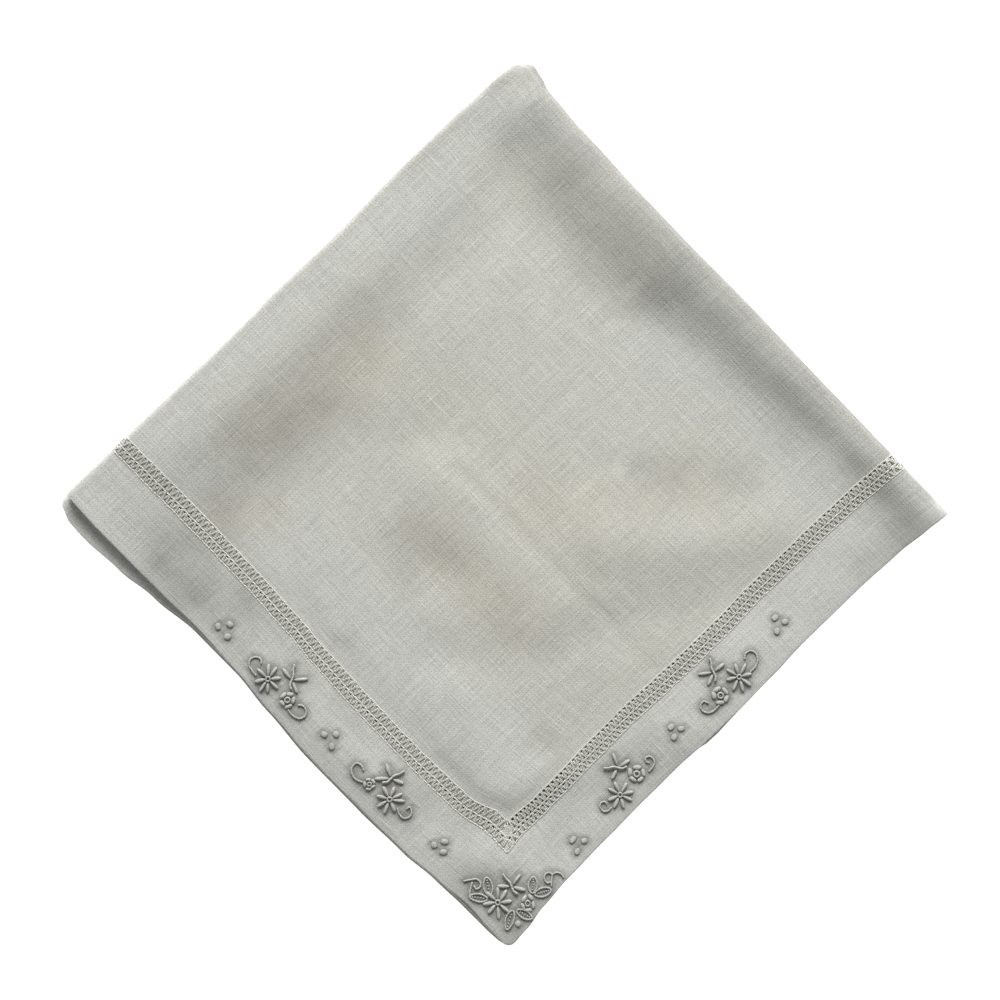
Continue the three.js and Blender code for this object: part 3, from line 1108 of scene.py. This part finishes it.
    def corner_mesh(self) -> FlatMesh:
        """Lay the crossed stitches that hold the band's four corners.

        Returns:
            Short threads over each corner.
        """
        inner, centre, outer = self.cords
        back, near, far = self.corner_ends
        half = self.pack.half
        share = np.linspace(0, 1, self.corner_points)
        rise = self.offset + self.corner_lift[0] + self.corner_lift[1] * np.sin(math.pi * share)
        parts = []
        for sign_u, sign_v in ((1, -1), (1, 1), (-1, 1), (-1, -1)):
            for (a0, b0), (a1, b1) in (
                ((inner - back, inner - back), (centre - back, centre - back)),
                ((centre, centre), (outer + near, outer + far)),
                ((centre, centre), (outer + far, outer + near)),
            ):
                u = sign_u * (half - (a0 + (a1 - a0) * share))
                v = sign_v * (half - (b0 + (b1 - b0) * share))
                path = np.stack([u, v, rise], axis=-1)
                parts.append(thread_tubes(path[None], np.full((1, len(share)), self.corner_radius), 6))
        return FlatMesh.joined(parts)

    def build(self, finish: bpy.types.Material) -> list[bpy.types.Object]:
        """Make the hemstitch.

        Args:
            finish: The thread's material.

        Returns:
            The cords and the strands.
        """
        cords = FlatMesh.joined([*map(self.cord_mesh, Detail), self.corner_mesh()])
        strands = FlatMesh.joined([*map(self.strand_mesh, Detail)])
        return [cords.build("hemstitch_cords", self.pack, finish),
                strands.build("hemstitch_strands", self.pack, finish)]


# Whitework


@dataclass
class StitchForm:
    """One raised stitch, modelled once at the origin in millimetres and then copied."""

    points: np.ndarray
    faces: list[tuple[int, ...]]

    @staticmethod
    def from_active() -> StitchForm:
        """Take the active object's mesh and remove the object.

        Returns:
            The form.
        """
        bpy.ops.object.mode_set(mode="OBJECT")
        piece = bpy.context.view_layer.objects.active
        mesh = piece.data
        points = np.array([tuple(vertex.co) for vertex in mesh.vertices])
        faces = sorted(tuple(face.vertices) for face in mesh.polygons)
        bpy.data.objects.remove(piece)
        bpy.data.meshes.remove(mesh)
        return StitchForm(points, faces)

    @staticmethod
    def select_where(test: Callable[[Vector], bool]) -> None:
        """Select the active mesh's points that pass a test, in edit mode.

        Args:
            test: Called with each point's place.
        """
        bpy.ops.object.mode_set(mode="OBJECT")
        mesh = bpy.context.view_layer.objects.active.data
        for part in (*mesh.polygons, *mesh.edges):
            part.select = False
        for vertex in mesh.vertices:
            vertex.select = bool(test(vertex.co))
        bpy.ops.object.mode_set(mode="EDIT")
        bpy.ops.mesh.select_mode(type="VERT")

    @classmethod
    def shape(cls, *pulls: tuple[Callable[[Vector], bool], Size, Size]) -> StitchForm:
        """Resize parts of the active mesh, one after another, and take it.

        Args:
            pulls: For each part, the test that its points pass, its new size, and the place that stays.

        Returns:
            The form.
        """
        for test, size, about in pulls:
            cls.select_where(test)
            bpy.ops.transform.resize(value=size, center_override=about)
        return cls.from_active()

    @classmethod
    def wrapped_petal(cls, wraps: int = 7) -> StitchForm:
        """Model a petal of thread wound round and round, 1 long from the origin along X.

        Args:
            wraps: How many turns of thread show.

        Returns:
            The petal, with its underside flattened.
        """
        bpy.ops.object.select_all(action="DESELECT")
        bpy.ops.mesh.primitive_cylinder_add(vertices=8, radius=0.5, depth=1.0, end_fill_type="NGON",
                                            rotation=(0, math.pi / 2, 0), location=(0.5, 0, 0))
        bpy.ops.object.transform_apply(location=True, rotation=True, scale=True)
        cls.select_where(lambda p: False)
        bpy.ops.mesh.select_mode(type="EDGE")
        bpy.ops.object.mode_set(mode="OBJECT")
        mesh = bpy.context.view_layer.objects.active.data
        for edge in mesh.edges:
            a, b = (mesh.vertices[k].co for k in edge.vertices)
            edge.select = abs(a.x - b.x) > 0.5
        bpy.ops.object.mode_set(mode="EDIT")
        rings = 2 * wraps
        bpy.ops.mesh.subdivide(number_cuts=rings - 1)
        pulls = []
        for k in range(rings + 1):
            x = k / rings
            size = max(0.22, 2.0 * x**0.6 * (1 - x) ** 0.45) * (1.05 if k % 2 else 0.91)
            pulls.append((lambda p, x=x: abs(p.x - x) < 0.25 / rings, (1, size, size * 0.9), (x, 0, 0)))
        return cls.shape(*pulls, (lambda p: p.z < -0.02, (1, 1.28, 0.5), (0.5, 0, 0)))

    @classmethod
    def padded_oval(cls) -> StitchForm:
        """Model a padded satin-stitch oval, 1 long and a little narrower.

        Returns:
            The oval, crowned above and flat below.
        """
        bpy.ops.object.select_all(action="DESELECT")
        bpy.ops.mesh.primitive_uv_sphere_add(segments=14, ring_count=8, radius=0.5)
        return cls.shape((lambda p: True, (1.0, 0.80, 0.62), (0, 0, 0)),
                         (lambda p: p.z < -0.05, (1, 1, 0.3), (0, 0, -0.05)),
                         (lambda p: p.x > 0.30, (0.8, 1.12, 1.1), (0.30, 0, 0)),
                         (lambda p: p.x < -0.30, (0.8, 1.12, 1.1), (-0.30, 0, 0)))

    @classmethod
    def eyelet_ring(cls, stitches: int = 14) -> StitchForm:
        """Model a small overcast ring, 1 across.

        Args:
            stitches: How many stitches go round it, every other one raised.

        Returns:
            The ring.
        """
        bpy.ops.object.select_all(action="DESELECT")
        bpy.ops.mesh.primitive_torus_add(major_segments=stitches, minor_segments=6, major_radius=0.36,
                                         minor_radius=0.14)
        return cls.shape((
            lambda p: math.floor(math.atan2(p.y, p.x) / (2 * math.pi) * stitches + 0.5) % 2 == 0,
            (1.0, 1.0, 1.25), (0, 0, 0)))

    @classmethod
    def seed_knot(cls) -> StitchForm:
        """Model a tiny knot, 1 across.

        Returns:
            The knot.
        """
        bpy.ops.object.select_all(action="DESELECT")
        bpy.ops.mesh.primitive_ico_sphere_add(subdivisions=2, radius=0.5)
        return cls.shape((lambda p: p.z > 0.3, (0.7, 0.7, 0.8), (0, 0, 0.3)))

    def copy_at(self, at: Place, angle: float, size: Size, base: float) -> FlatMesh:
        """Copy the form onto the flat cloth.

        Args:
            at: Place of its origin, u and v.
            angle: Turn on the cloth, in radians.
            size: Length, width and height, in millimetres.
            base: Offset of its origin above the sheet's middle.

        Returns:
            The copy.
        """
        scaled = self.points * np.array(size)
        cos, sin = math.cos(angle), math.sin(angle)
        u = at[0] + scaled[:, 0] * cos - scaled[:, 1] * sin
        v = at[1] + scaled[:, 0] * sin + scaled[:, 1] * cos
        points = np.stack([u, v, base + scaled[:, 2]], axis=1)
        loops = np.array([k for face in self.faces for k in face])
        sizes = np.array([len(face) for face in self.faces])
        pattern = np.stack([scaled[:, 0], scaled[:, 1] * 1.4], axis=1)
        return FlatMesh(points, loops, sizes, pattern)


@dataclass(frozen=True)
class Spray:
    """A small spray: a daisy, a star with a stem through it, and a rose.

    Places are distances in from the side edge and from the lower edge, and angles are in degrees.
    """

    # place, direction of its first petal
    daisy: tuple[float, ...]
    # place, direction of the stem's long end, 1 or -1 for the side with two arms
    star: tuple[float, float, float, int]
    # place, direction of its first petal, scale
    rose: tuple[float, ...]


def stitch_forms() -> dict[str, StitchForm]:
    """Model each of the embroidery's raised stitches once.

    Returns:
        The forms by name.
    """
    return {"petal": StitchForm.wrapped_petal(), "oval": StitchForm.padded_oval(),
            "ring": StitchForm.eyelet_ring(), "seed": StitchForm.seed_knot()}


@dataclass(frozen=True)
class Whitework:
    """The raised white embroidery on the two hems of the top layer and in their corner."""

    pack: FoldedPack
    forms: dict[str, StitchForm] = field(default_factory=stitch_forms)
    # source of the stitches' small unevenness
    rng: np.random.Generator = field(default_factory=lambda: np.random.default_rng(12))
    base: float = 0.52
    # offset of the knots and padded stitches over the base
    padding: float = 0.08
    petals_round: int = 8
    petal_long: float = 2.55
    petal_wide: float = 0.88
    petal_high: float = 0.90
    petal_gap: float = 0.62
    petal_lift: float = 0.16
    star_long: float = 2.85
    star_gap: float = 0.45
    # a ring's length, width, height and offset: a daisy's, and a rose's before its scale
    daisy_ring: tuple[float, ...] = (1.35, 1.35, 1.2, 0.36)
    rose_ring: tuple[float, ...] = (1.6, 1.6, 1.5, 0.30)
    rose_seed: Size = (0.40, 0.40, 0.5)
    rose_petals: int = 5
    # a rose petal's distance out, length from and to, width and height
    rose_petal: tuple[float, ...] = (1.42, 1.80, 2.15, 1.25, 1.25)
    dot_swell: float = 1.15
    dot_high: float = 0.95
    dot_lift: float = 0.06
    # turn of each of the star's three wound arms from the stem
    star_arms: tuple[float, ...] = (73.0, 138.0, -66.0)
    # run along the stem and bow across it
    stem: tuple[Place, ...] = (
        (3.3, 0.45), (2.2, 0.35), (1.0, -0.05), (0.0, 0.0), (-1.0, 0.05), (-2.0, -0.55),
    )
    line_radius: float = 0.22
    line_lift: float = 0.12
    line_step: float = 0.17
    # height of a stem line over its star
    stem_lift: float = 0.42
    # pitch and lift of the stitches of a line, and its thickness between them and more at one
    bead_pitch: float = 0.6
    bead_lift: float = 0.04
    bead_swell: Place = (0.82, 0.22)
    sprays: tuple[Spray, ...] = (
        Spray((5.1, 79.8, 105), (9.8, 76.3, 158, -1), (5.1, 73.8, 20, 1.05)),
        Spray((4.5, 41.5, 111), (9.1, 45.4, 221, 1), (5.2, 47.5, 60, 1.05)),
        Spray((79.0, 4.2, 98), (75.1, 8.0, 121, 1), (72.6, 4.4, 40, 0.95)),
        Spray((40.7, 5.8, 116), (43.8, 9.1, 82, -1), (46.3, 5.0, 10, 0.72)),
        Spray((8.1, 5.1, 92), (8.1, 9.6, 164, 1), (3.1, 9.7, 30, 0.90)),
    )
    # in from the side edge, in from the lower edge, length, width, angle
    dots: Table = (
        (8.4, 95.1, 1.9, 1.5, 80), (6.2, 96.1, 1.8, 1.5, 60), (6.0, 93.3, 1.8, 1.5, 120),
        (7.4, 60.6, 1.9, 1.5, 95), (5.7, 62.0, 1.8, 1.4, 60), (5.3, 59.5, 1.8, 1.5, 110),
        (5.1, 26.5, 2.2, 1.4, 90), (3.1, 28.3, 1.7, 1.4, 60), (2.6, 25.5, 1.7, 1.4, 100),
        (93.7, 5.6, 1.9, 1.5, 10), (95.2, 3.4, 1.8, 1.5, 150), (92.1, 3.5, 1.8, 1.6, 40),
        (61.3, 5.5, 1.8, 1.5, 20), (59.5, 7.3, 1.8, 1.5, 0), (58.2, 4.9, 1.8, 1.5, 140),
        (25.3, 7.1, 1.9, 1.5, 20), (26.4, 5.2, 1.8, 1.5, 150), (23.8, 5.2, 1.8, 1.5, 30),
        (2.0, 5.2, 1.5, 1.5, 0),
    )
    # base in from the side and lower edges, tip likewise, width
    leaves: Table = (
        (10.2, 4.6, 13.4, 7.0, 1.9), (10.1, 3.9, 13.1, 1.4, 1.6), (4.1, 6.9, 0.5, 8.3, 1.6),
        (4.7, 6.3, 3.0, 2.6, 1.8), (3.7, 11.8, 6.0, 14.4, 2.0), (3.2, 12.1, 1.1, 15.4, 1.8),
    )
    leaf_steps: int = 16
    # where the seed knots of a leaf lie along it, and their size
    leaf_seeds: tuple[float, ...] = (0.22, 0.38, 0.54, 0.70, 0.84)
    leaf_seed: Size = (0.46, 0.40, 0.44)
    # tendrils of the sprays and hooks of the corner, as places in from the side and lower edges
    tendrils: tuple[tuple[Place, ...], ...] = (
        ((4.0, 38.2), (4.0, 36.9), (4.8, 36.1), (6.0, 36.3), (6.3, 37.2), (5.7, 37.9), (5.1, 37.6)),
        ((3.7, 49.8), (3.8, 51.4), (4.5, 52.5), (5.8, 52.5), (6.3, 51.6), (5.7, 51.0), (4.9, 51.4)),
        ((81.3, 2.6), (82.8, 2.6), (84.2, 2.9), (84.9, 3.9), (84.5, 5.1), (83.3, 5.6), (82.4, 5.0)),
        ((71.0, 3.1), (69.2, 3.1), (67.7, 3.8), (67.3, 5.1), (68.1, 6.0), (69.4, 6.0), (70.2, 5.3)),
        ((47.6, 4.3), (49.0, 3.7), (50.6, 3.9), (51.7, 4.9), (51.7, 6.2), (50.6, 6.6), (49.3, 6.1)),
        ((38.2, 5.7), (36.9, 5.0), (35.4, 5.0), (34.8, 6.2), (35.5, 7.3), (36.5, 7.5), (36.4, 6.7)),
        ((4.1, 82.3), (4.1, 84.1), (4.9, 85.6), (6.3, 86.3), (7.4, 85.8), (7.7, 84.5), (6.9, 83.5)),
        ((3.8, 72.1), (3.7, 70.7), (4.1, 69.2), (5.4, 68.4), (6.5, 68.9), (6.7, 70.1), (5.6, 70.6)),
        ((16.2, 3.2), (15.4, 4.4), (14.5, 5.4), (13.5, 5.3), (12.9, 4.3), (13.3, 3.6), (14.1, 4.0)),
        ((14.8, 4.3), (14.2, 3.2), (13.5, 2.0), (12.8, 1.4)),
        ((0.7, 19.2), (1.5, 19.4), (2.6, 18.9), (3.0, 17.8), (2.3, 16.8), (1.5, 15.9)),
        ((3.0, 17.8), (3.9, 17.5), (4.3, 16.6), (3.8, 15.8), (2.8, 15.8), (2.2, 16.5)),
    )
    # how much cloth there is past the edges that the places are measured from
    hem_spare: float = 0.1
    # height over the cloth within which a stitch's foot is darkened with painted shade
    foot: float = 0.36
    # reach and depth of the painted shade, with some old soil, on the linen: round a flower, beside a
    # stitch, and inside a curl
    flower_shade: Place = (6.5, 0.15)
    stitch_shade: Place = (1.25, 0.78)
    curl_shade: Place = (1.6, 0.8)
    # the stitches lie past these distances from the cloth's middle
    corner_from: float = 35.0
    hem_from: float = 120.0

    def spot(self, a: float, b: float) -> Place:
        """Turn distances in from the side edge and the lower edge into u and v."""
        return self.pack.half - a - self.hem_spare, -self.pack.half + b + self.hem_spare

    def shade_and_soil(self, flat: np.ndarray, stitches: FlatMesh) -> np.ndarray:
        """Work out the painted shade, with some old soil, that darkens the linen round the stitches.

        Args:
            flat: Rows of u, v and offset.
            stitches: The stitches on the flat cloth.

        Returns:
            The painted shade and soil of each point, 0 to 1.
        """
        u, v = flat[:, 0], flat[:, 1]

        def halo(at: Place, reach: float) -> np.ndarray:
            """Return a soft round spot of this reach on the flat cloth."""
            return smooth(1.0 - np.hypot(u - at[0], v - at[1]) / reach)

        wide, close = np.zeros(len(flat)), np.zeros(len(flat))
        for spray in self.sprays:
            for flower in (spray.daisy, spray.star, spray.rose):
                wide = np.maximum(wide, halo(self.spot(*flower[:2]), self.flower_shade[0]))
        marks = stitches.points[::2]
        tree = KDTree(len(marks))
        for number, mark in enumerate(marks):
            tree.insert((mark[0], mark[1], 0.0), number)
        tree.balance()
        near = np.flatnonzero((u > self.corner_from) & (v < -self.corner_from)
                              & (np.maximum(u, -v) > self.hem_from))
        away = np.array([tree.find((u[row], v[row], 0.0))[2] for row in near])
        close[near] = smooth(1.0 - away / self.stitch_shade[0])
        for line in self.tendrils:
            curl = halo(self.spot(*np.mean(line, axis=0)), self.curl_shade[0])
            close = np.maximum(close, self.curl_shade[1] * curl)
        grey = self.flower_shade[1] * wide + self.stitch_shade[1] * close
        return np.clip(grey, 0.0, 1.0) * (flat[:, 2] > 0)

    def petals(self, at: Place, headings: list[float], gap: float, long: float) -> list[FlatMesh]:
        """Lay wound petals that point away from a flower's centre.

        Args:
            at: The flower's centre.
            headings: Direction of each petal, in radians.
            gap: Distance of their roots from the centre.
            long: Their length.

        Returns:
            The petals.
        """
        rng, found = self.rng, []
        for heading in headings:
            angle = heading + rng.normal(0, 0.05)
            root = (at[0] + gap * math.cos(angle), at[1] + gap * math.sin(angle))
            size = (long * rng.uniform(0.90, 1.10), self.petal_wide * rng.uniform(0.90, 1.08),
                    self.petal_high)
            turn = angle + rng.normal(0, 0.06)
            found.append(self.forms["petal"].copy_at(root, turn, size, self.base + self.petal_lift))
        return found

    def daisy(self, at: Place, start: float) -> list[FlatMesh]:
        """Lay a daisy: wound petals round an overcast ring.

        Args:
            at: Its centre.
            start: Direction of its first petal, in degrees.

        Returns:
            The daisy.
        """
        *size, lift = self.daisy_ring
        count = self.petals_round
        headings = [math.radians(start) + 2 * math.pi * k / count for k in range(count)]
        return [self.forms["ring"].copy_at(at, 0.4, size, self.base + lift),
                *self.petals(at, headings, self.petal_gap, self.petal_long)]

    def star(self, at: Place, heading: float, hand: int) -> list[FlatMesh]:
        """Lay a star: three wound arms with a bowed stem over them.

        Args:
            at: Its centre.
            heading: Direction of the stem's long end, in degrees.
            hand: 1 or -1, for the side of the stem that has two arms.

        Returns:
            The star.
        """
        headings = [math.radians(heading - hand * turn) for turn in self.star_arms]
        cos, sin = math.cos(math.radians(heading)), math.sin(math.radians(heading))
        line = [(at[0] + run * cos - bow * hand * sin, at[1] + run * sin + bow * hand * cos)
                for run, bow in self.stem]
        return [*self.petals(at, headings, self.star_gap, self.star_long),
                self.thread(line, self.line_radius * 1.1, self.stem_lift)]

    def rose(self, at: Place, start: float, scale: float) -> list[FlatMesh]:
        """Lay a rose of padded petals round an overcast ring.

        Args:
            at: Its centre.
            start: Direction of its first petal, in degrees.
            scale: Its size beside a rose 4 mm across.

        Returns:
            The rose.
        """
        rng, forms = self.rng, self.forms
        wide, deep, high, lift = self.rose_ring
        found = [forms["ring"].copy_at(at, 0.3, (wide * scale, deep * scale, high), self.base + lift),
                 forms["seed"].copy_at(at, 0.0, self.rose_seed, self.base + self.padding)]
        out, short, long, wide, high = self.rose_petal
        for k in range(self.rose_petals):
            angle = math.radians(start) + 2 * math.pi * k / self.rose_petals + rng.normal(0, 0.08)
            away = out * scale * rng.uniform(0.95, 1.06)
            place = (at[0] + away * math.cos(angle), at[1] + away * math.sin(angle))
            size = (rng.uniform(short, long) * scale, wide * scale * rng.uniform(0.9, 1.1), high)
            lean = angle + math.pi / 2 + rng.normal(0, 0.15)
            found.append(forms["oval"].copy_at(place, lean, size, self.base + self.padding))
        return found

    def thread(self, points: list[Place], radius: float, lift: float) -> FlatMesh:
        """Lay a stem-stitch line through places on the cloth.

        Args:
            points: Places it passes, u and v.
            radius: Its radius.
            lift: Height of its middle over the linen.

        Returns:
            The line, smoothed between the places.
        """
        knots = np.array(points)
        gaps = np.concatenate([[0], np.cumsum(np.linalg.norm(np.diff(knots, axis=0), axis=1))])
        at = np.linspace(0, gaps[-1], max(8, int(gaps[-1] / self.line_step)))
        u, v = (self.eased_line(gaps, knots[:, column], at) for column in (0, 1))
        beads = np.abs(np.sin(math.pi * at / self.bead_pitch))
        path = np.stack([u, v, self.base + lift + self.bead_lift * beads], axis=-1)
        thick = radius * (self.bead_swell[0] + self.bead_swell[1] * beads)
        thick[[0, -1]] *= 0.5
        return thread_tubes(path[None], thick[None], 8)

    @staticmethod
    def eased_line(knots: np.ndarray, values: np.ndarray, at: np.ndarray) -> np.ndarray:
        """Pass a smooth line through values at knots.

        Args:
            knots: Distances along the line where the values lie.
            values: The values there.
            at: Distances at which to read the line.

        Returns:
            The line's values.
        """
        slope = np.gradient(values, knots)
        k = np.clip(np.searchsorted(knots, at, side="right") - 1, 0, len(knots) - 2)
        step = knots[k + 1] - knots[k]
        t = (at - knots[k]) / step
        a, b = values[k], values[k + 1]
        return ((2 * t**3 - 3 * t**2 + 1) * a + (t**3 - 2 * t**2 + t) * step * slope[k]
                + (-2 * t**3 + 3 * t**2) * b + (t**3 - t**2) * step * slope[k + 1])

    def leaf(self, row: tuple[float, ...]) -> list[FlatMesh]:
        """Lay an outlined leaf with seed knots inside.

        Args:
            row: The leaf's row of the table.

        Returns:
            The outline and the knots.
        """
        base, tip, wide = self.spot(*row[:2]), self.spot(*row[2:4]), row[4]
        du, dv = tip[0] - base[0], tip[1] - base[1]
        long = math.hypot(du, dv)
        outline = []
        for k in range(self.leaf_steps + 1):
            turn = 2 * math.pi * k / self.leaf_steps
            run = 0.5 - 0.5 * math.cos(turn)
            side = wide / 2 * math.sin(turn) * (0.75 + 0.25 * math.sin(math.pi * run)) / long
            outline.append((base[0] + du * run - dv * side, base[1] + dv * run + du * side))
        found = [self.thread(outline, self.line_radius * 0.95, self.line_lift)]
        for share in self.leaf_seeds:
            place = (base[0] + du * share, base[1] + dv * share)
            found.append(self.forms["seed"].copy_at(place, share * 5, self.leaf_seed,
                                                    self.base + self.padding))
        return found

    def flat_mesh(self) -> FlatMesh:
        """Lay all the stitches on the flat cloth.

        Returns:
            One mesh of them all.
        """
        parts = []
        for spray in self.sprays:
            parts += self.daisy(self.spot(*spray.daisy[:2]), *spray.daisy[2:])
            parts += self.rose(self.spot(*spray.rose[:2]), *spray.rose[2:])
            parts += self.star(self.spot(*spray.star[:2]), *spray.star[2:])
        for a, b, long, wide, angle in self.dots:
            size = (long, wide * self.dot_swell, self.dot_high)
            parts.append(self.forms["oval"].copy_at(self.spot(a, b), math.radians(angle), size,
                                                    self.base + self.dot_lift))
        for row in self.leaves:
            parts += self.leaf(row)
        for line in self.tendrils:
            places = [self.spot(a, b) for a, b in line]
            parts.append(self.thread(places, self.line_radius, self.line_lift))
        return FlatMesh.joined(parts)

    def build(self, stitches: FlatMesh, finish: bpy.types.Material) -> bpy.types.Object:
        """Make the whitework.

        Args:
            stitches: The stitches on the flat cloth.
            finish: The embroidery thread's material.

        Returns:
            All the raised stitches as one piece.
        """
        # painted shade darkens each stitch towards its foot
        foot_shade = smooth(1 - (stitches.points[:, 2] - self.base) / self.foot)
        return stitches.build("whitework", self.pack, finish, {SHADE_AND_SOIL: foot_shade})


# Studio


@dataclass(frozen=True)
class Studio:
    """The pale table top, the soft light and the camera straight above."""

    across: float = 0.2265
    camera_height: float = 0.62
    camera_at: Place = (-0.002292, 0.000257)
    roll_degrees: float = 45.9
    cloth_top: float = 0.0055
    sensor: float = 36.0
    floor_size: float = 3.0
    floor_drop: float = 0.00005
    floor_colour: Colour = (0.93, 0.93, 0.93, 1.0)
    floor_roughness: float = 0.8
    floor_glow: float = 0.85
    key_energy: float = 158.0
    key_away: float = 2.60
    key_up: float = 1.45
    key_size: Place = (1.8, 1.3)
    key_colour: Size = (1.0, 0.995, 0.98)
    fill_strength: float = 0.32

    def build_floor(self) -> bpy.types.Object:
        """Make the table top.

        Returns:
            The floor.
        """
        bpy.ops.object.select_all(action="DESELECT")
        bpy.ops.mesh.primitive_plane_add(size=self.floor_size, location=(0, 0, -self.floor_drop))
        floor = bpy.context.view_layer.objects.active
        bpy.ops.object.transform_apply(location=True, rotation=True, scale=True)
        floor.name = "table_top"
        graph = Graph("white_table")
        graph.finish(self.floor_colour, self.floor_roughness, None, self.floor_glow)
        floor.data.materials.append(graph.material)
        return floor

    def build_lights(self) -> None:
        """Set a large soft light above the photo's upper edge, and an even fill."""
        scene = bpy.context.scene
        world = bpy.data.worlds.new("studio")
        world.use_nodes = True
        background = world.node_tree.nodes["Background"]
        background.inputs["Color"].default_value = (1.0, 1.0, 1.0, 1.0)
        background.inputs["Strength"].default_value = self.fill_strength
        scene.world = world
        light = bpy.data.lights.new("window", "AREA")
        light.shape = "RECTANGLE"
        light.size, light.size_y = self.key_size
        light.energy = self.key_energy
        light.color = self.key_colour
        lamp = bpy.data.objects.new("window", light)
        scene.collection.objects.link(lamp)
        angle = math.radians(self.roll_degrees + 90)
        lamp.location = (self.key_away * math.cos(angle), self.key_away * math.sin(angle), self.key_up)
        lamp.rotation_euler = (math.atan2(self.key_away, self.key_up), 0.0, angle + math.pi / 2)

    def build_camera(self) -> None:
        """Set the camera straight above, turned so the cloth lies cornerwise."""
        scene = bpy.context.scene
        data = bpy.data.cameras.new("above")
        data.sensor_fit = "HORIZONTAL"
        data.sensor_width = self.sensor
        data.lens = self.sensor * self.camera_height / self.across
        data.clip_start = 0.01
        camera = bpy.data.objects.new("above", data)
        scene.collection.objects.link(camera)
        camera.location = (*self.camera_at, self.cloth_top + self.camera_height)
        camera.rotation_euler = (0.0, 0.0, math.radians(self.roll_degrees))
        scene.camera = camera
        scene.view_settings.view_transform = "Standard"
        scene.view_settings.look = "None"


def main() -> None:
    """Build the studio and every piece of the handkerchief."""
    logging.basicConfig(level=logging.INFO, format="%(name)s: %(message)s")
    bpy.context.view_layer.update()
    studio = Studio()
    studio.build_floor()
    studio.build_lights()
    studio.build_camera()
    pack = FoldedPack()
    hem_thread = ThreadFinish().material()
    flower_thread = ThreadFinish(
        name="whitework_thread", colour=(0.56, 0.56, 0.53, 1.0), shade=(0.44, 0.44, 0.415, 1.0),
        ply_pitch=0.30, ply_lift=0.04).material()
    whitework = Whitework(pack)
    stitches = whitework.flat_mesh()
    sheet = LinenSheet(pack).build(LinenFinish().material(), whitework, stitches)
    hemstitch = Hemstitch(pack).build(hem_thread)
    flowers = whitework.build(stitches, flower_thread)
    for piece in (sheet, *hemstitch, flowers):
        LOG.info("%s: %d faces", piece.name, len(piece.data.polygons))
    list(hemstitch)


if __name__ == "__main__":
    main()
